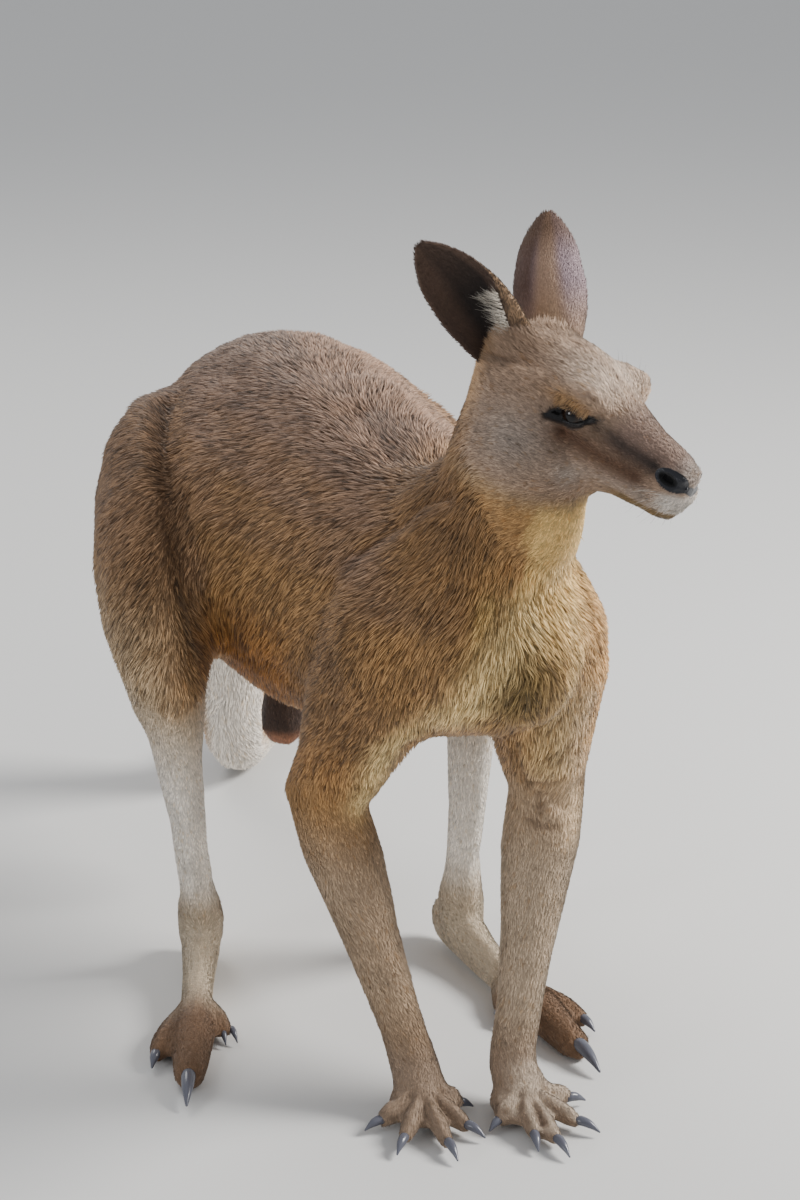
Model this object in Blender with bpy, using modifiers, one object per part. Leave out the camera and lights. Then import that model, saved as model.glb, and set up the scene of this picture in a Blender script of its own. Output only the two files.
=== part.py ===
"""A male eastern grey kangaroo standing on all fours, life size, as a still museum model.

The flesh is modelled whole: lofted tubes and ellipsoids for the bones and muscles are joined, given one skin by
a voxel remesh and smoothed, and then parted with thin cuts into the pieces that a person would name. Eyes, ears
and claws are made on their own and let into the flesh or set on it.

Units are metres. +Z is up and the animal faces -Y, so its left side is +X. The points below are given from a
spot on the floor under the belly. At the end the whole is moved so that the origin is the bottom centre of its
box. The surface modelled is the outside of the coat.
"""

import math

import bmesh
import bpy
from mathutils import Euler, Matrix, Vector

# ---------------------------------------------------------------------------------------------------------
# Driving dimensions
# ---------------------------------------------------------------------------------------------------------
EAR_FLAT_WIDTH = 0.078  # of the ear's sheet, before it is curled into a cup
EAR_THICKNESS = 0.0040
EYE_RADIUS = 0.0145
FOOT_LENGTH = 0.335  # heel to the tip of the fourth toe's flesh
CUT = 0.0004  # width of the cuts between pieces of flesh
FIT = 0.0003  # clearance between a claw, an eye or an ear and the flesh round it

VOXEL = 0.004
# The share of the skin's faces that is kept on the head, on the hands and feet, and on the rest.
SHARES = {"head": 0.030, "ends": 0.021, "body": 0.0060}
RING = 20  # points round a lofted tube
STEPS = 5  # rings between two stations of a tube

SIDES = {"right": -1, "left": 1}  # towards -X and towards +X

# Where each limb stands. A heading is in degrees from straight ahead, positive towards the animal's left. A
# hand's fan gives each finger's heading from the hand's own, thumb first, positive towards the thumb.
HIND = {
    "right": {
        "hip": (-0.120, 0.135, 0.520),
        "knee": (-0.205, -0.165, 0.410),
        "heel": (-0.131, 0.030),
        "heading": -17,
    },
    "left": {
        "hip": (0.105, 0.135, 0.520),
        "knee": (0.134, -0.165, 0.430),
        "heel": (0.132, -0.022),
        "heading": 8,
    },
}
FORE = {
    "right": {
        "shoulder": (-0.030, -0.345, 0.500),
        "elbow": (-0.072, -0.255, 0.302),
        "wrist": (-0.017, -0.380, 0.052),
        "heading": 2,
        "fan": (86, 32, 0, -38, -80),
    },
    "left": {
        "shoulder": (0.125, -0.375, 0.500),
        "elbow": (0.150, -0.312, 0.315),
        "wrist": (0.080, -0.408, 0.052),
        "heading": 4,
        "fan": (65, 14, -3, -39, -88),
    },
}
FINGERS = (0.040, 0.059, 0.074, 0.064, 0.051)  # from the middle of the palm, thumb first

HEAD_AT = Vector((0.072, -0.364, 0.778))  # back of the skull
HEAD_TURN, HEAD_NOD = 35, 19  # degrees, to its left and nose down
# In the head's own axes: forward, to its left, and up from the back of the skull.
EARS = {
    "right": {"base": (0.026, -0.028, 0.024), "tip": (-0.063, -0.090, 0.099), "facing": (0.66, -0.75, 0.08)},
    "left": {"base": (0.032, 0.030, 0.022), "tip": (-0.036, 0.073, 0.115), "facing": (-0.30, 0.90, -0.40)},
}
EYE = (0.117, 0.0365, 0.006)

COLOURS = {
    "coat": ((0.30, 0.21, 0.14), 0.85),
    "pale coat": ((0.55, 0.46, 0.35), 0.85),
    "dark coat": ((0.16, 0.11, 0.08), 0.85),
    "eye": ((0.012, 0.008, 0.006), 0.08),
    "claw": ((0.060, 0.062, 0.070), 0.35),
}


# ---------------------------------------------------------------------------------------------------------
# Modelling helpers
# ---------------------------------------------------------------------------------------------------------
def collection(name):
    made = bpy.data.collections.new(name)
    bpy.context.scene.collection.children.link(made)
    return made


def mesh_object(name, bm, where):
    mesh = bpy.data.meshes.new(name)
    bm.to_mesh(mesh)
    bm.free()
    made = bpy.data.objects.new(name, mesh)
    where.objects.link(made)
    return made


def applied(obj):
    """Gives the object the mesh that its modifiers make, and drops the modifiers."""
    graph = bpy.context.evaluated_depsgraph_get()
    mesh = bpy.data.meshes.new_from_object(obj.evaluated_get(graph))
    obj.modifiers.clear()
    obj.data = mesh
    return obj


def copy_of(obj, name):
    made = bpy.data.objects.new(name, obj.data.copy())
    obj.users_collection[0].objects.link(made)
    return made


def carve(obj, cutter, operation):
    cut = obj.modifiers.new("cut", "BOOLEAN")
    cut.operation = operation
    cut.object = cutter
    return applied(obj)


def keep_largest(obj):
    """Drops the crumbs that a cut leaves beside the main body."""
    bm = bmesh.new()
    bm.from_mesh(obj.data)
    left = set(bm.verts)
    bodies = []
    while left:
        body, edge = set(), [left.pop()]
        while edge:
            vert = edge.pop()
            body.add(vert)
            near = {e.other_vert(vert) for e in vert.link_edges} & left
            left -= near
            edge.extend(near)
        bodies.append(body)
    bodies.sort(key=len)
    for body in bodies[:-1]:
        bmesh.ops.delete(bm, geom=list(body), context="VERTS")
    bm.to_mesh(obj.data)
    bm.free()
    return obj


def smooth_rows(rows, steps):
    """Rows of numbers read from a Catmull-Rom curve through the given ones."""
    ends = [rows[0], *rows, rows[-1]]
    found = []
    for a, b, c, d in zip(ends, ends[1:], ends[2:], ends[3:]):
        for k in range(steps):
            t = k / steps
            found.append(
                [
                    0.5 * (2 * q + (r - p) * t + (2 * p - 5 * q + 4 * r - s) * t**2 + (3 * q - p - 3 * r + s) * t**3)
                    for p, q, r, s in zip(a, b, c, d)
                ]
            )
    found.append(list(rows[-1]))
    return found


def tube(bm, stations, top, steps=STEPS, ring=RING):
    """A closed loft through stations of (place, half width, half height). Height is measured towards top."""
    rows = smooth_rows([(*place, wide, high) for place, wide, high in stations], steps)
    places = [Vector(row[:3]) for row in rows]
    rings = []
    for i, (place, row) in enumerate(zip(places, rows)):
        along = (places[min(i + 1, len(places) - 1)] - places[max(i - 1, 0)]).normalized()
        side = along.cross(Vector(top)).normalized()
        up = side.cross(along)
        turns = [2 * math.pi * k / ring for k in range(ring)]
        rings.append([bm.verts.new(place + side * row[3] * math.cos(t) + up * row[4] * math.sin(t)) for t in turns])
    faces = [bm.faces.new(rings[0][::-1]), bm.faces.new(rings[-1])]
    for low, high in zip(rings, rings[1:]):
        for k in range(ring):
            faces.append(bm.faces.new((low[k], low[(k + 1) % ring], high[(k + 1) % ring], high[k])))
    bmesh.ops.recalc_face_normals(bm, faces=faces)


def ellipsoid(bm, centre, radii, axes=None, segments=24):
    """An ellipsoid with its radii along the columns of axes, a 3x3 matrix."""
    turn = (axes or Matrix.Identity(3)).to_4x4()
    place = Matrix.Translation(centre) @ turn @ Matrix.Diagonal((*radii, 1))
    bmesh.ops.create_uvsphere(bm, u_segments=segments, v_segments=segments // 2, radius=1, matrix=place)


def axes_along(along, top):
    """Three square axes as columns: along, across and as near to top as can be."""
    along = Vector(along).normalized()
    across = Vector(top).cross(along).normalized()
    return Matrix((along, across, along.cross(across))).transposed()


def on_floor(origin, heading):
    """A function that turns (forward, left, up) into a point, for a hand or foot on the floor."""
    angle = math.radians(heading)
    ahead = Vector((math.sin(angle), -math.cos(angle), 0))
    left = Vector((math.cos(angle), math.sin(angle), 0))
    start = Vector((origin[0], origin[1], 0))
    return lambda forward, aside, up: start + ahead * forward + left * aside + Vector((0, 0, up))


def head_frame():
    """The head's own axes: +X to the nose, +Y to its left, +Z to its crown, from the back of the skull."""
    turn = Euler((0, math.radians(HEAD_NOD), math.radians(HEAD_TURN - 90))).to_matrix().to_4x4()
    return Matrix.Translation(HEAD_AT) @ turn


def palm_of(side):
    return on_floor(FORE[side]["wrist"], FORE[side]["heading"])(0.030, 0, 0)


def foot_of(side):
    return on_floor(HIND[side]["heel"], HIND[side]["heading"])


def ankle_of(side):
    return foot_of(side)(0.055, 0, 0.070)


# ---------------------------------------------------------------------------------------------------------
# Volumes of flesh
# ---------------------------------------------------------------------------------------------------------
def trunk(bm):
    tube(
        bm,
        [
            ((0.082, -0.486, 0.530), 0.020, 0.030),
            ((0.076, -0.466, 0.522), 0.060, 0.074),
            ((0.062, -0.420, 0.515), 0.090, 0.102),
            ((0.045, -0.320, 0.510), 0.118, 0.134),
            ((0.020, -0.170, 0.500), 0.150, 0.172),
            ((0.000, -0.020, 0.500), 0.170, 0.188),
            ((0.000, 0.110, 0.508), 0.162, 0.182),
            ((0.000, 0.210, 0.505), 0.140, 0.155),
            ((0.000, 0.300, 0.480), 0.100, 0.115),
            ((0.000, 0.345, 0.455), 0.050, 0.065),
        ],
        top=(0, 0, 1),
    )


def neck(bm):
    tube(
        bm,
        [
            ((0.046, -0.270, 0.520), 0.100, 0.090),
            ((0.056, -0.350, 0.575), 0.094, 0.098),
            ((0.068, -0.402, 0.645), 0.070, 0.086),
            ((0.080, -0.409, 0.715), 0.059, 0.074),
            ((0.093, -0.403, 0.770), 0.051, 0.063),
        ],
        top=(0, 1, 0.3),
    )


def head(bm):
    at = head_frame()
    axes = at.to_3x3()
    tube(
        bm,
        [
            (at @ Vector((0.002, 0, -0.008)), 0.030, 0.030),
            (at @ Vector((0.014, 0, -0.008)), 0.041, 0.042),
            (at @ Vector((0.035, 0, -0.008)), 0.050, 0.051),
            (at @ Vector((0.070, 0, -0.010)), 0.054, 0.062),
            (at @ Vector((0.100, 0, -0.016)), 0.052, 0.065),
            (at @ Vector((0.130, 0, -0.020)), 0.044, 0.057),
            (at @ Vector((0.157, 0, -0.023)), 0.037, 0.047),
            (at @ Vector((0.182, 0, -0.0265)), 0.032, 0.0415),
            (at @ Vector((0.206, 0, -0.0275)), 0.030, 0.0375),
            (at @ Vector((0.227, 0, -0.0285)), 0.026, 0.0325),
            (at @ Vector((0.240, 0, -0.0290)), 0.016, 0.021),
        ],
        top=axes.col[2],
    )
    for sign in SIDES.values():
        ellipsoid(bm, at @ Vector((0.118, 0.034 * sign, 0.021)), (0.030, 0.016, 0.016), axes)  # brow
        ellipsoid(bm, at @ Vector((0.082, 0.032 * sign, -0.036)), (0.042, 0.026, 0.036), axes)  # cheek
        ellipsoid(bm, at @ Vector((0.212, 0.014 * sign, -0.027)), (0.024, 0.017, 0.020), axes)  # upper lip


def tail(bm):
    tube(
        bm,
        [
            ((0.000, 0.255, 0.515), 0.100, 0.110),
            ((0.000, 0.335, 0.450), 0.078, 0.088),
            ((0.002, 0.395, 0.345), 0.060, 0.068),
            ((0.007, 0.433, 0.240), 0.050, 0.055),
            ((0.014, 0.452, 0.145), 0.043, 0.047),
            ((0.023, 0.474, 0.070), 0.038, 0.042),
            ((0.050, 0.530, 0.038), 0.037, 0.038),
            ((0.110, 0.625, 0.034), 0.035, 0.034),
            ((0.185, 0.745, 0.029), 0.031, 0.030),
            ((0.235, 0.870, 0.023), 0.024, 0.024),
            ((0.240, 0.980, 0.017), 0.017, 0.018),
            ((0.225, 1.060, 0.011), 0.008, 0.010),
        ],
        top=(0, 1, 0.6),
    )


def hind_leg(bm, side):
    sign = SIDES[side]
    hip, knee, ankle = Vector(HIND[side]["hip"]), Vector(HIND[side]["knee"]), ankle_of(side)
    foot = foot_of(side)
    out = Vector((sign, 0, 0))
    tube(
        bm,
        [
            (hip + Vector((-0.030 * sign, 0.085, 0.030)), 0.060, 0.050),
            (hip + Vector((0.005 * sign, 0.035, 0.010)), 0.100, 0.072),
            (hip.lerp(knee, 0.33) + out * 0.012, 0.122, 0.080),
            (hip.lerp(knee, 0.66) + out * 0.012, 0.100, 0.066),
            (knee + Vector((0, 0.020, 0.005)), 0.064, 0.046),
            (knee + Vector((0, -0.020, -0.008)), 0.035, 0.030),
        ],
        top=out,
    )
    ellipsoid(bm, knee + Vector((0, -0.008, -0.006)), (0.034, 0.042, 0.046))
    tube(  # the hamstrings, from the seat to the back of the calf
        bm,
        [
            (hip + Vector((-0.010 * sign, 0.120, 0.000)), 0.055, 0.040),
            (hip + Vector((0.010 * sign, 0.075, -0.055)), 0.075, 0.055),
            (hip.lerp(knee, 0.45) + Vector((0.008 * sign, 0.045, -0.070)), 0.060, 0.050),
            (knee + Vector((0, 0.060, -0.030)), 0.046, 0.036),
            (knee + Vector((0, 0.040, -0.065)), 0.030, 0.026),
        ],
        top=out,
    )
    tube(
        bm,
        [
            (knee + Vector((0, 0.020, 0.030)), 0.038, 0.042),
            (knee.lerp(ankle, 0.12) + Vector((0, 0.026, 0)), 0.036, 0.062),
            (knee.lerp(ankle, 0.32) + Vector((0, 0.020, 0)), 0.026, 0.050),
            (knee.lerp(ankle, 0.60) + Vector((0, 0.008, 0)), 0.0195, 0.030),
            (knee.lerp(ankle, 0.85) + Vector((0, 0.006, 0)), 0.0185, 0.026),
            (ankle, 0.026, 0.029),
            (foot(0.060, 0, 0.040), 0.024, 0.026),
        ],
        top=(0, 1, 0.4),
    )
    tube(
        bm,
        [
            (foot(0.004, 0, 0.026), 0.010, 0.014),
            (foot(0.020, 0, 0.032), 0.019, 0.028),
            (foot(0.060, 0, 0.034), 0.022, 0.032),
            (foot(0.120, 0, 0.023), 0.018, 0.024),
            (foot(0.190, 0, 0.019), 0.018, 0.021),
            (foot(0.240, 0, 0.019), 0.024, 0.021),
            (foot(0.285, 0, 0.016), 0.020, 0.019),
            (foot(0.318, 0, 0.014), 0.017, 0.016),
            (foot(FOOT_LENGTH, 0, 0.012), 0.009, 0.010),
        ],
        top=(0, 0, 1),
    )
    tube(  # fifth toe, on the outside
        bm,
        [
            (foot(0.190, 0.010 * sign, 0.017), 0.012, 0.014),
            (foot(0.235, 0.028 * sign, 0.015), 0.013, 0.014),
            (foot(0.262, 0.035 * sign, 0.012), 0.011, 0.012),
            (foot(0.276, 0.037 * sign, 0.010), 0.006, 0.008),
        ],
        top=(0, 0, 1),
    )
    tube(  # second and third toes in one skin, on the inside
        bm,
        [
            (foot(0.165, -0.008 * sign, 0.017), 0.010, 0.012),
            (foot(0.200, -0.024 * sign, 0.016), 0.012, 0.011),
            (foot(0.222, -0.032 * sign, 0.013), 0.010, 0.009),
            (foot(0.230, -0.035 * sign, 0.011), 0.006, 0.006),
        ],
        top=(0, 0, 1),
    )


def foreleg(bm, side):
    arm, sign = FORE[side], SIDES[side]
    shoulder, elbow, wrist = (Vector(arm[k]) for k in ("shoulder", "elbow", "wrist"))
    palm = palm_of(side)
    inward = Vector((-sign, 0, 0))
    tube(
        bm,
        [
            (shoulder + Vector((-0.020 * sign, 0.020, 0.075)), 0.050, 0.040),
            (shoulder + inward * 0.004, 0.076, 0.060),
            (shoulder.lerp(elbow, 0.45) + inward * 0.008, 0.068, 0.058),
            (shoulder.lerp(elbow, 0.80) + inward * 0.006, 0.052, 0.049),
            (elbow + Vector((0, 0.008, 0)), 0.040, 0.040),
            (elbow + Vector((0, 0.012, -0.028)), 0.024, 0.024),
        ],
        top=(sign, 0, 0),
    )
    tube(
        bm,
        [
            (elbow + Vector((0, 0.010, 0.030)), 0.030, 0.032),
            (elbow, 0.038, 0.041),
            (elbow.lerp(wrist, 0.22), 0.040, 0.042),
            (elbow.lerp(wrist, 0.50), 0.031, 0.032),
            (elbow.lerp(wrist, 0.78), 0.024, 0.025),
            (wrist, 0.025, 0.022),
            (palm + Vector((0, 0.008, 0.028)), 0.028, 0.018),
        ],
        top=(0, -1, 0),
    )
    ellipsoid(bm, palm + Vector((0, 0, 0.018)), (0.036, 0.038, 0.019))
    for turn, length in zip(arm["fan"], FINGERS):
        finger = on_floor(palm, arm["heading"] - sign * turn)
        tube(
            bm,
            [
                (finger(0.012, 0, 0.020), 0.011, 0.012),
                (finger(0.035, 0, 0.019), 0.0105, 0.012),
                (finger(length * 0.78, 0, 0.014), 0.0095, 0.011),
                (finger(length, 0, 0.011), 0.007, 0.008),
            ],
            top=(0, 0, 1),
            ring=12,
        )


def scrotum(bm):
    tube(
        bm,
        [
            ((0, 0.150, 0.340), 0.020, 0.022),
            ((0, 0.150, 0.290), 0.016, 0.018),
            ((0, 0.150, 0.245), 0.026, 0.024),
            ((0, 0.150, 0.210), 0.028, 0.026),
            ((0, 0.150, 0.188), 0.014, 0.014),
        ],
        top=(0, -1, 0),
    )


def blended(point):
    """How much the joins between volumes are softened here: all on the trunk, none on hands, feet and head."""
    from_limbs = (point.z - 0.24) / 0.10
    from_head = (HEAD_AT.z - 0.06 - point.z) / 0.06
    return max(0.0, min(1.0, from_limbs, from_head))


def flesh(where):
    """All the flesh in one closed skin, standing on flats at z = 0."""
    bm = bmesh.new()
    for volume in (trunk, neck, head, tail, scrotum):
        volume(bm)
    for side in SIDES:
        hind_leg(bm, side)
        foreleg(bm, side)
    body = mesh_object("flesh", bm, where)
    skin = body.modifiers.new("one skin", "REMESH")
    skin.mode = "VOXEL"
    skin.voxel_size = VOXEL
    applied(body)
    soft = body.vertex_groups.new(name="joins")
    for vert in body.data.vertices:
        soft.add([vert.index], blended(vert.co), "REPLACE")
    even = body.modifiers.new("even", "SMOOTH")
    even.factor, even.iterations = 0.5, 6
    joins = body.modifiers.new("joins", "SMOOTH")
    joins.factor, joins.iterations, joins.vertex_group = 0.5, 130, "joins"
    return applied(body)


# ---------------------------------------------------------------------------------------------------------
# Eyes, ears and claws
# ---------------------------------------------------------------------------------------------------------
def eye(where, name, side, grown=0.0):
    bm = bmesh.new()
    centre = head_frame() @ Vector((EYE[0], EYE[1] * SIDES[side], EYE[2]))
    ellipsoid(bm, centre, (EYE_RADIUS + grown,) * 3, head_frame().to_3x3(), segments=14)
    return mesh_object(name, bm, where)


def ear(where, side):
    """A sheet curled into a cup, most at its root, with its open side towards facing."""
    at = head_frame()
    base, tip = at @ Vector(EARS[side]["base"]), at @ Vector(EARS[side]["tip"])
    along = (tip - base).normalized()
    facing = at.to_3x3() @ Vector(EARS[side]["facing"])
    facing = (facing - along * facing.dot(along)).normalized()
    across = along.cross(facing)
    # Share of the length, share of the flat width, and how far the sheet curls round in degrees.
    stations = [(0, 0.60, 200), (0.2, 0.86, 170), (0.4, 1.0, 135), (0.55, 0.98, 118), (0.7, 0.84, 104)]
    stations += [(0.82, 0.62, 92), (0.92, 0.38, 80), (1, 0.10, 70)]
    bm = bmesh.new()
    rows = []
    for share, wide, curl in smooth_rows(stations, 2):
        curl = math.radians(curl)
        radius = EAR_FLAT_WIDTH * wide / curl
        middle = base.lerp(tip, share) + facing * radius * math.cos(curl / 2)
        turns = [curl * (k / 6 - 0.5) for k in range(7)]
        rows.append([bm.verts.new(middle + (across * math.sin(t) - facing * math.cos(t)) * radius) for t in turns])
    for low, high in zip(rows, rows[1:]):
        for k in range(6):
            bm.faces.new((low[k], low[k + 1], high[k + 1], high[k]))
    made = mesh_object(f"ear_{side}", bm, where)
    shell = made.modifiers.new("thickness", "SOLIDIFY")
    shell.thickness, shell.offset = EAR_THICKNESS, 0
    return applied(made)


def claw(where, name, root, ahead, length, wide, high, droop, grown=0.0):
    """A curved claw from root, which lies inside the toe, to a blunt point. Droop is how far the point sinks."""
    bm = bmesh.new()
    down = Vector((0, 0, -1))
    stations = []
    for share, size in ((0, 1.0), (0.40, 0.88), (0.75, 0.52), (1, 0.16)):
        place = root + ahead * (length * share) + down * (droop * share**2)
        start = ahead * (grown if share == 0 else 0)
        stations.append((place - start, wide / 2 * size + grown, high / 2 * size + grown))
    tube(bm, stations, top=(0, 0, 1), steps=1, ring=6)
    return mesh_object(name, bm, where)


def claws_of(side):
    """Each claw's name and its sizes, for the claws of one side."""
    sign = SIDES[side]
    foot, heading = foot_of(side), HIND[side]["heading"]
    ahead = lambda turn: on_floor((0, 0), heading + turn)(1, 0, 0)
    # Toe number: place of the root forward, outward and up; heading outward; length, width, height and droop.
    toes = {
        "2": ((0.214, -0.038, 0.013), -22, 0.026, 0.005, 0.006, 0.009),
        "3": ((0.218, -0.029, 0.013), -14, 0.026, 0.005, 0.006, 0.009),
        "4": ((0.318, 0.000, 0.019), 0, 0.062, 0.015, 0.014, 0.013),
        "5": ((0.264, 0.036, 0.013), 10, 0.030, 0.010, 0.009, 0.008),
    }
    for number, (place, turn, length, wide, high, droop) in toes.items():
        forward, outward, up = place
        name, root = f"claw_hind_{side}_{number}", foot(forward, outward * sign, up)
        yield name, root, ahead(turn * sign), length, wide, high, droop
    palm = palm_of(side)
    for number, (turn, reach) in enumerate(zip(FORE[side]["fan"], FINGERS), start=1):
        finger = on_floor(palm, FORE[side]["heading"] - sign * turn)
        root, way = finger(reach - 0.008, 0, 0.013), finger(1, 0, 0) - finger(0, 0, 0)
        yield f"claw_fore_{side}_{number}", root, way, 0.010 + reach * 0.36, 0.0085, 0.009, 0.008


# ---------------------------------------------------------------------------------------------------------
# Parting the flesh
# ---------------------------------------------------------------------------------------------------------
def box(where, centre, half, axes, grown):
    """A box with its half sizes along the columns of axes."""
    bm = bmesh.new()
    bmesh.ops.create_cube(bm, size=2)
    made = mesh_object("region", bm, where)
    size = Matrix.Diagonal((*(h + grown for h in half), 1))
    made.data.transform(Matrix.Translation(centre) @ axes.to_4x4() @ size)
    return made


def oval(where, centre, half, axes, grown):
    bm = bmesh.new()
    ellipsoid(bm, centre, [h + grown for h in half], axes, segments=14)
    return mesh_object("region", bm, where)


def cut_plane(point, along, width=0.2, reach=0.4):
    """The region beyond a plane at point, on the side that along shows, as the arguments of box."""
    axes = axes_along(along, (0, 0, 1) if abs(Vector(along).normalized().z) < 0.9 else (0, 1, 0))
    return box, Vector(point) + axes.col[0] * reach, (reach, width, width), axes


def regions():
    """Each piece of flesh that is cut off, in order, with the region that it fills. What is left is the trunk."""
    square = Matrix.Identity(3)
    at = head_frame()
    regions = {"head": {}, "ends": {}, "body": {}}
    across_throat = at.to_3x3() @ Vector((0.61, 0, 0.79))
    regions["head"]["head"] = cut_plane(at @ Vector((0.030, 0, -0.052)), across_throat, 0.20, 0.16)
    for side, sign in SIDES.items():
        foot, palm = foot_of(side), palm_of(side)
        ahead = foot(1, 0, 0) - foot(0, 0, 0)
        turned = axes_along(ahead, (0, 0, 1))
        regions["ends"][f"foot_{side}"] = box, foot(0.165, 0, 0.037), (0.200, 0.060, 0.052), turned
        # The thumbs are near each other, so each box is set off to its own side.
        middle = palm + Vector((0.020 * sign, -0.010, 0.018))
        regions["ends"][f"hand_{side}"] = box, middle, (0.066, 0.090, 0.052), square
    body = regions["body"]
    body["tail_tip"] = cut_plane((0.175, 0.730, 0.030), (0.50, 0.85, 0), 0.25, 0.3)
    body["tail_middle"] = cut_plane((0.013, 0.458, 0.150), (0.10, 0.45, -0.90), 0.35, 0.4)
    body["tail_root"] = cut_plane((0.000, 0.338, 0.452), (0, 0.72, -0.69), 0.22, 0.3)
    body["scrotum"] = box, Vector((0, 0.150, 0.200)), (0.045, 0.045, 0.095), square
    for side, sign in SIDES.items():
        shoulder, elbow, wrist = (Vector(FORE[side][k]) for k in ("shoulder", "elbow", "wrist"))
        hip, knee, ankle = Vector(HIND[side]["hip"]), Vector(HIND[side]["knee"]), ankle_of(side)
        out = Vector((sign, 0, 0))
        down = axes_along(wrist - elbow, (0, -1, 0))
        middle = elbow.lerp(wrist, 0.5) - down.col[0] * 0.005
        body[f"forearm_{side}"] = box, middle, ((wrist - elbow).length / 2 + 0.02, 0.055, 0.062), down
        limb = axes_along(elbow - shoulder, out)
        body[f"upper_arm_{side}"] = oval, shoulder.lerp(elbow, 0.50) + out * 0.020, (0.165, 0.092, 0.068), limb
        down = axes_along(ankle - knee, (0, -1, 0))
        middle = knee.lerp(ankle, 0.51) + Vector((0, 0.008, 0))  # with the knee
        body[f"shank_{side}"] = oval, middle, ((ankle - knee).length * 0.66, 0.056, 0.084), down
        limb = axes_along(knee - hip, out)
        body[f"thigh_{side}"] = oval, hip.lerp(knee, 0.46) + out * 0.050, (0.255, 0.150, 0.090), limb
    body["neck"] = cut_plane((0.056, -0.360, 0.600), (0.08, -0.50, 0.86), 0.15, 0.2)
    return regions


def decimated(obj, name, share):
    made = copy_of(obj, name)
    fewer = made.modifiers.new("fewer faces", "DECIMATE")
    fewer.ratio = share
    return applied(made)


def piece_of(stock, name, region, cutters):
    """The part of the stock inside a region, as a new object, and the stock left with a gap of CUT round it."""
    kind, centre, half, axes = region
    inside, outside = (kind(cutters, centre, half, axes, grown) for grown in (-CUT / 2, CUT / 2))
    piece = keep_largest(carve(copy_of(stock, name), inside, "INTERSECT"))
    carve(stock, outside, "DIFFERENCE")
    return piece


def finish(name):
    """The material of a node, by its name."""
    if name.startswith(("eye", "claw")):
        key = name.split("_")[0]
    elif name.startswith(("shank", "tail_middle")):
        key = "pale coat"
    elif name.startswith(("hand", "foot", "ear", "scrotum")):
        key = "dark coat"
    else:
        key = "coat"
    material = bpy.data.materials.get(key)
    if material:
        return material
    material = bpy.data.materials.new(key)
    material.use_nodes = True
    shader = material.node_tree.nodes["Principled BSDF"]
    shader.inputs["Base Color"].default_value = (*COLOURS[key][0], 1)
    shader.inputs["Roughness"].default_value = COLOURS[key][1]
    return material


def kangaroo():
    animal, cutters = collection("kangaroo"), collection("cutters")
    whole = flesh(animal)
    floor = box(cutters, Vector((0, 0.2, -0.5)), (2, 2, 0.5), Matrix.Identity(3), 0)
    stocks = {}
    for key, share in SHARES.items():
        stocks[key] = carve(decimated(whole, f"{key} stock", share), floor, "DIFFERENCE")
    bpy.data.objects.remove(whole)

    made = []
    for key, group in regions().items():
        for name, region in group.items():
            made.append(piece_of(stocks[key], name, region, cutters))
            kind, centre, half, axes = region
            if key != "body":
                carve(stocks["body"], kind(cutters, centre, half, axes, CUT / 2), "DIFFERENCE")
    stocks["body"].name = "trunk"
    made.append(keep_largest(stocks["body"]))
    for key in ("head", "ends"):
        bpy.data.objects.remove(stocks[key])

    pieces = {piece.name: piece for piece in made}
    for side in SIDES:
        carve(pieces["head"], eye(cutters, f"socket_{side}", side, FIT), "DIFFERENCE")
        pieces[f"eye_{side}"] = eye(animal, f"eye_{side}", side)
        for name, *sizes in claws_of(side):
            home = pieces[f"foot_{side}" if "hind" in name else f"hand_{side}"]
            carve(home, claw(cutters, name + "_seat", *sizes, grown=FIT), "DIFFERENCE")
            pieces[name] = claw(animal, name, *sizes)
    wide_head = copy_of(pieces["head"], "head_room")
    gap = wide_head.modifiers.new("room", "DISPLACE")
    gap.strength, gap.mid_level = FIT, 0
    applied(wide_head)
    for side in SIDES:
        pieces[f"ear_{side}"] = keep_largest(carve(ear(animal, side), wide_head, "DIFFERENCE"))
    bpy.data.objects.remove(wide_head)

    corners = [v.co for piece in pieces.values() for v in piece.data.vertices]
    low, high = (Vector(f(c[i] for c in corners) for i in range(3)) for f in (min, max))
    shift = Matrix.Translation((-(low.x + high.x) / 2, -(low.y + high.y) / 2, -low.z))
    for name, piece in pieces.items():
        piece.data.transform(shift)
        piece.data.materials.clear()
        piece.data.materials.append(finish(name))
        piece.data.shade_smooth()
        piece.data.set_sharp_from_angle(angle=math.radians(50))
    for helper in cutters.objects:
        helper.hide_render = True
        helper.display_type = "WIRE"


if __name__ == "__main__":
    for thing in list(bpy.data.objects):
        bpy.data.objects.remove(thing)
    kangaroo()
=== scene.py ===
# %% [markdown]
# # A life-size kangaroo
# A museum model of a large grey kangaroo that stands on hands, feet and tail and looks round to its left.
# The solids of the body are loaded first and never change. Everything after that is laid over them: one
# skin, a coat of small locks of hair, ears, eyes, claws and whiskers. Sizes are in metres, and the animal
# faces -Y.

# %% Load the solids
import math

import bmesh
import bpy
import numpy as np
from mathutils import Matrix, Vector, noise
from mathutils.bvhtree import BVHTree
from mathutils.kdtree import KDTree


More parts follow.
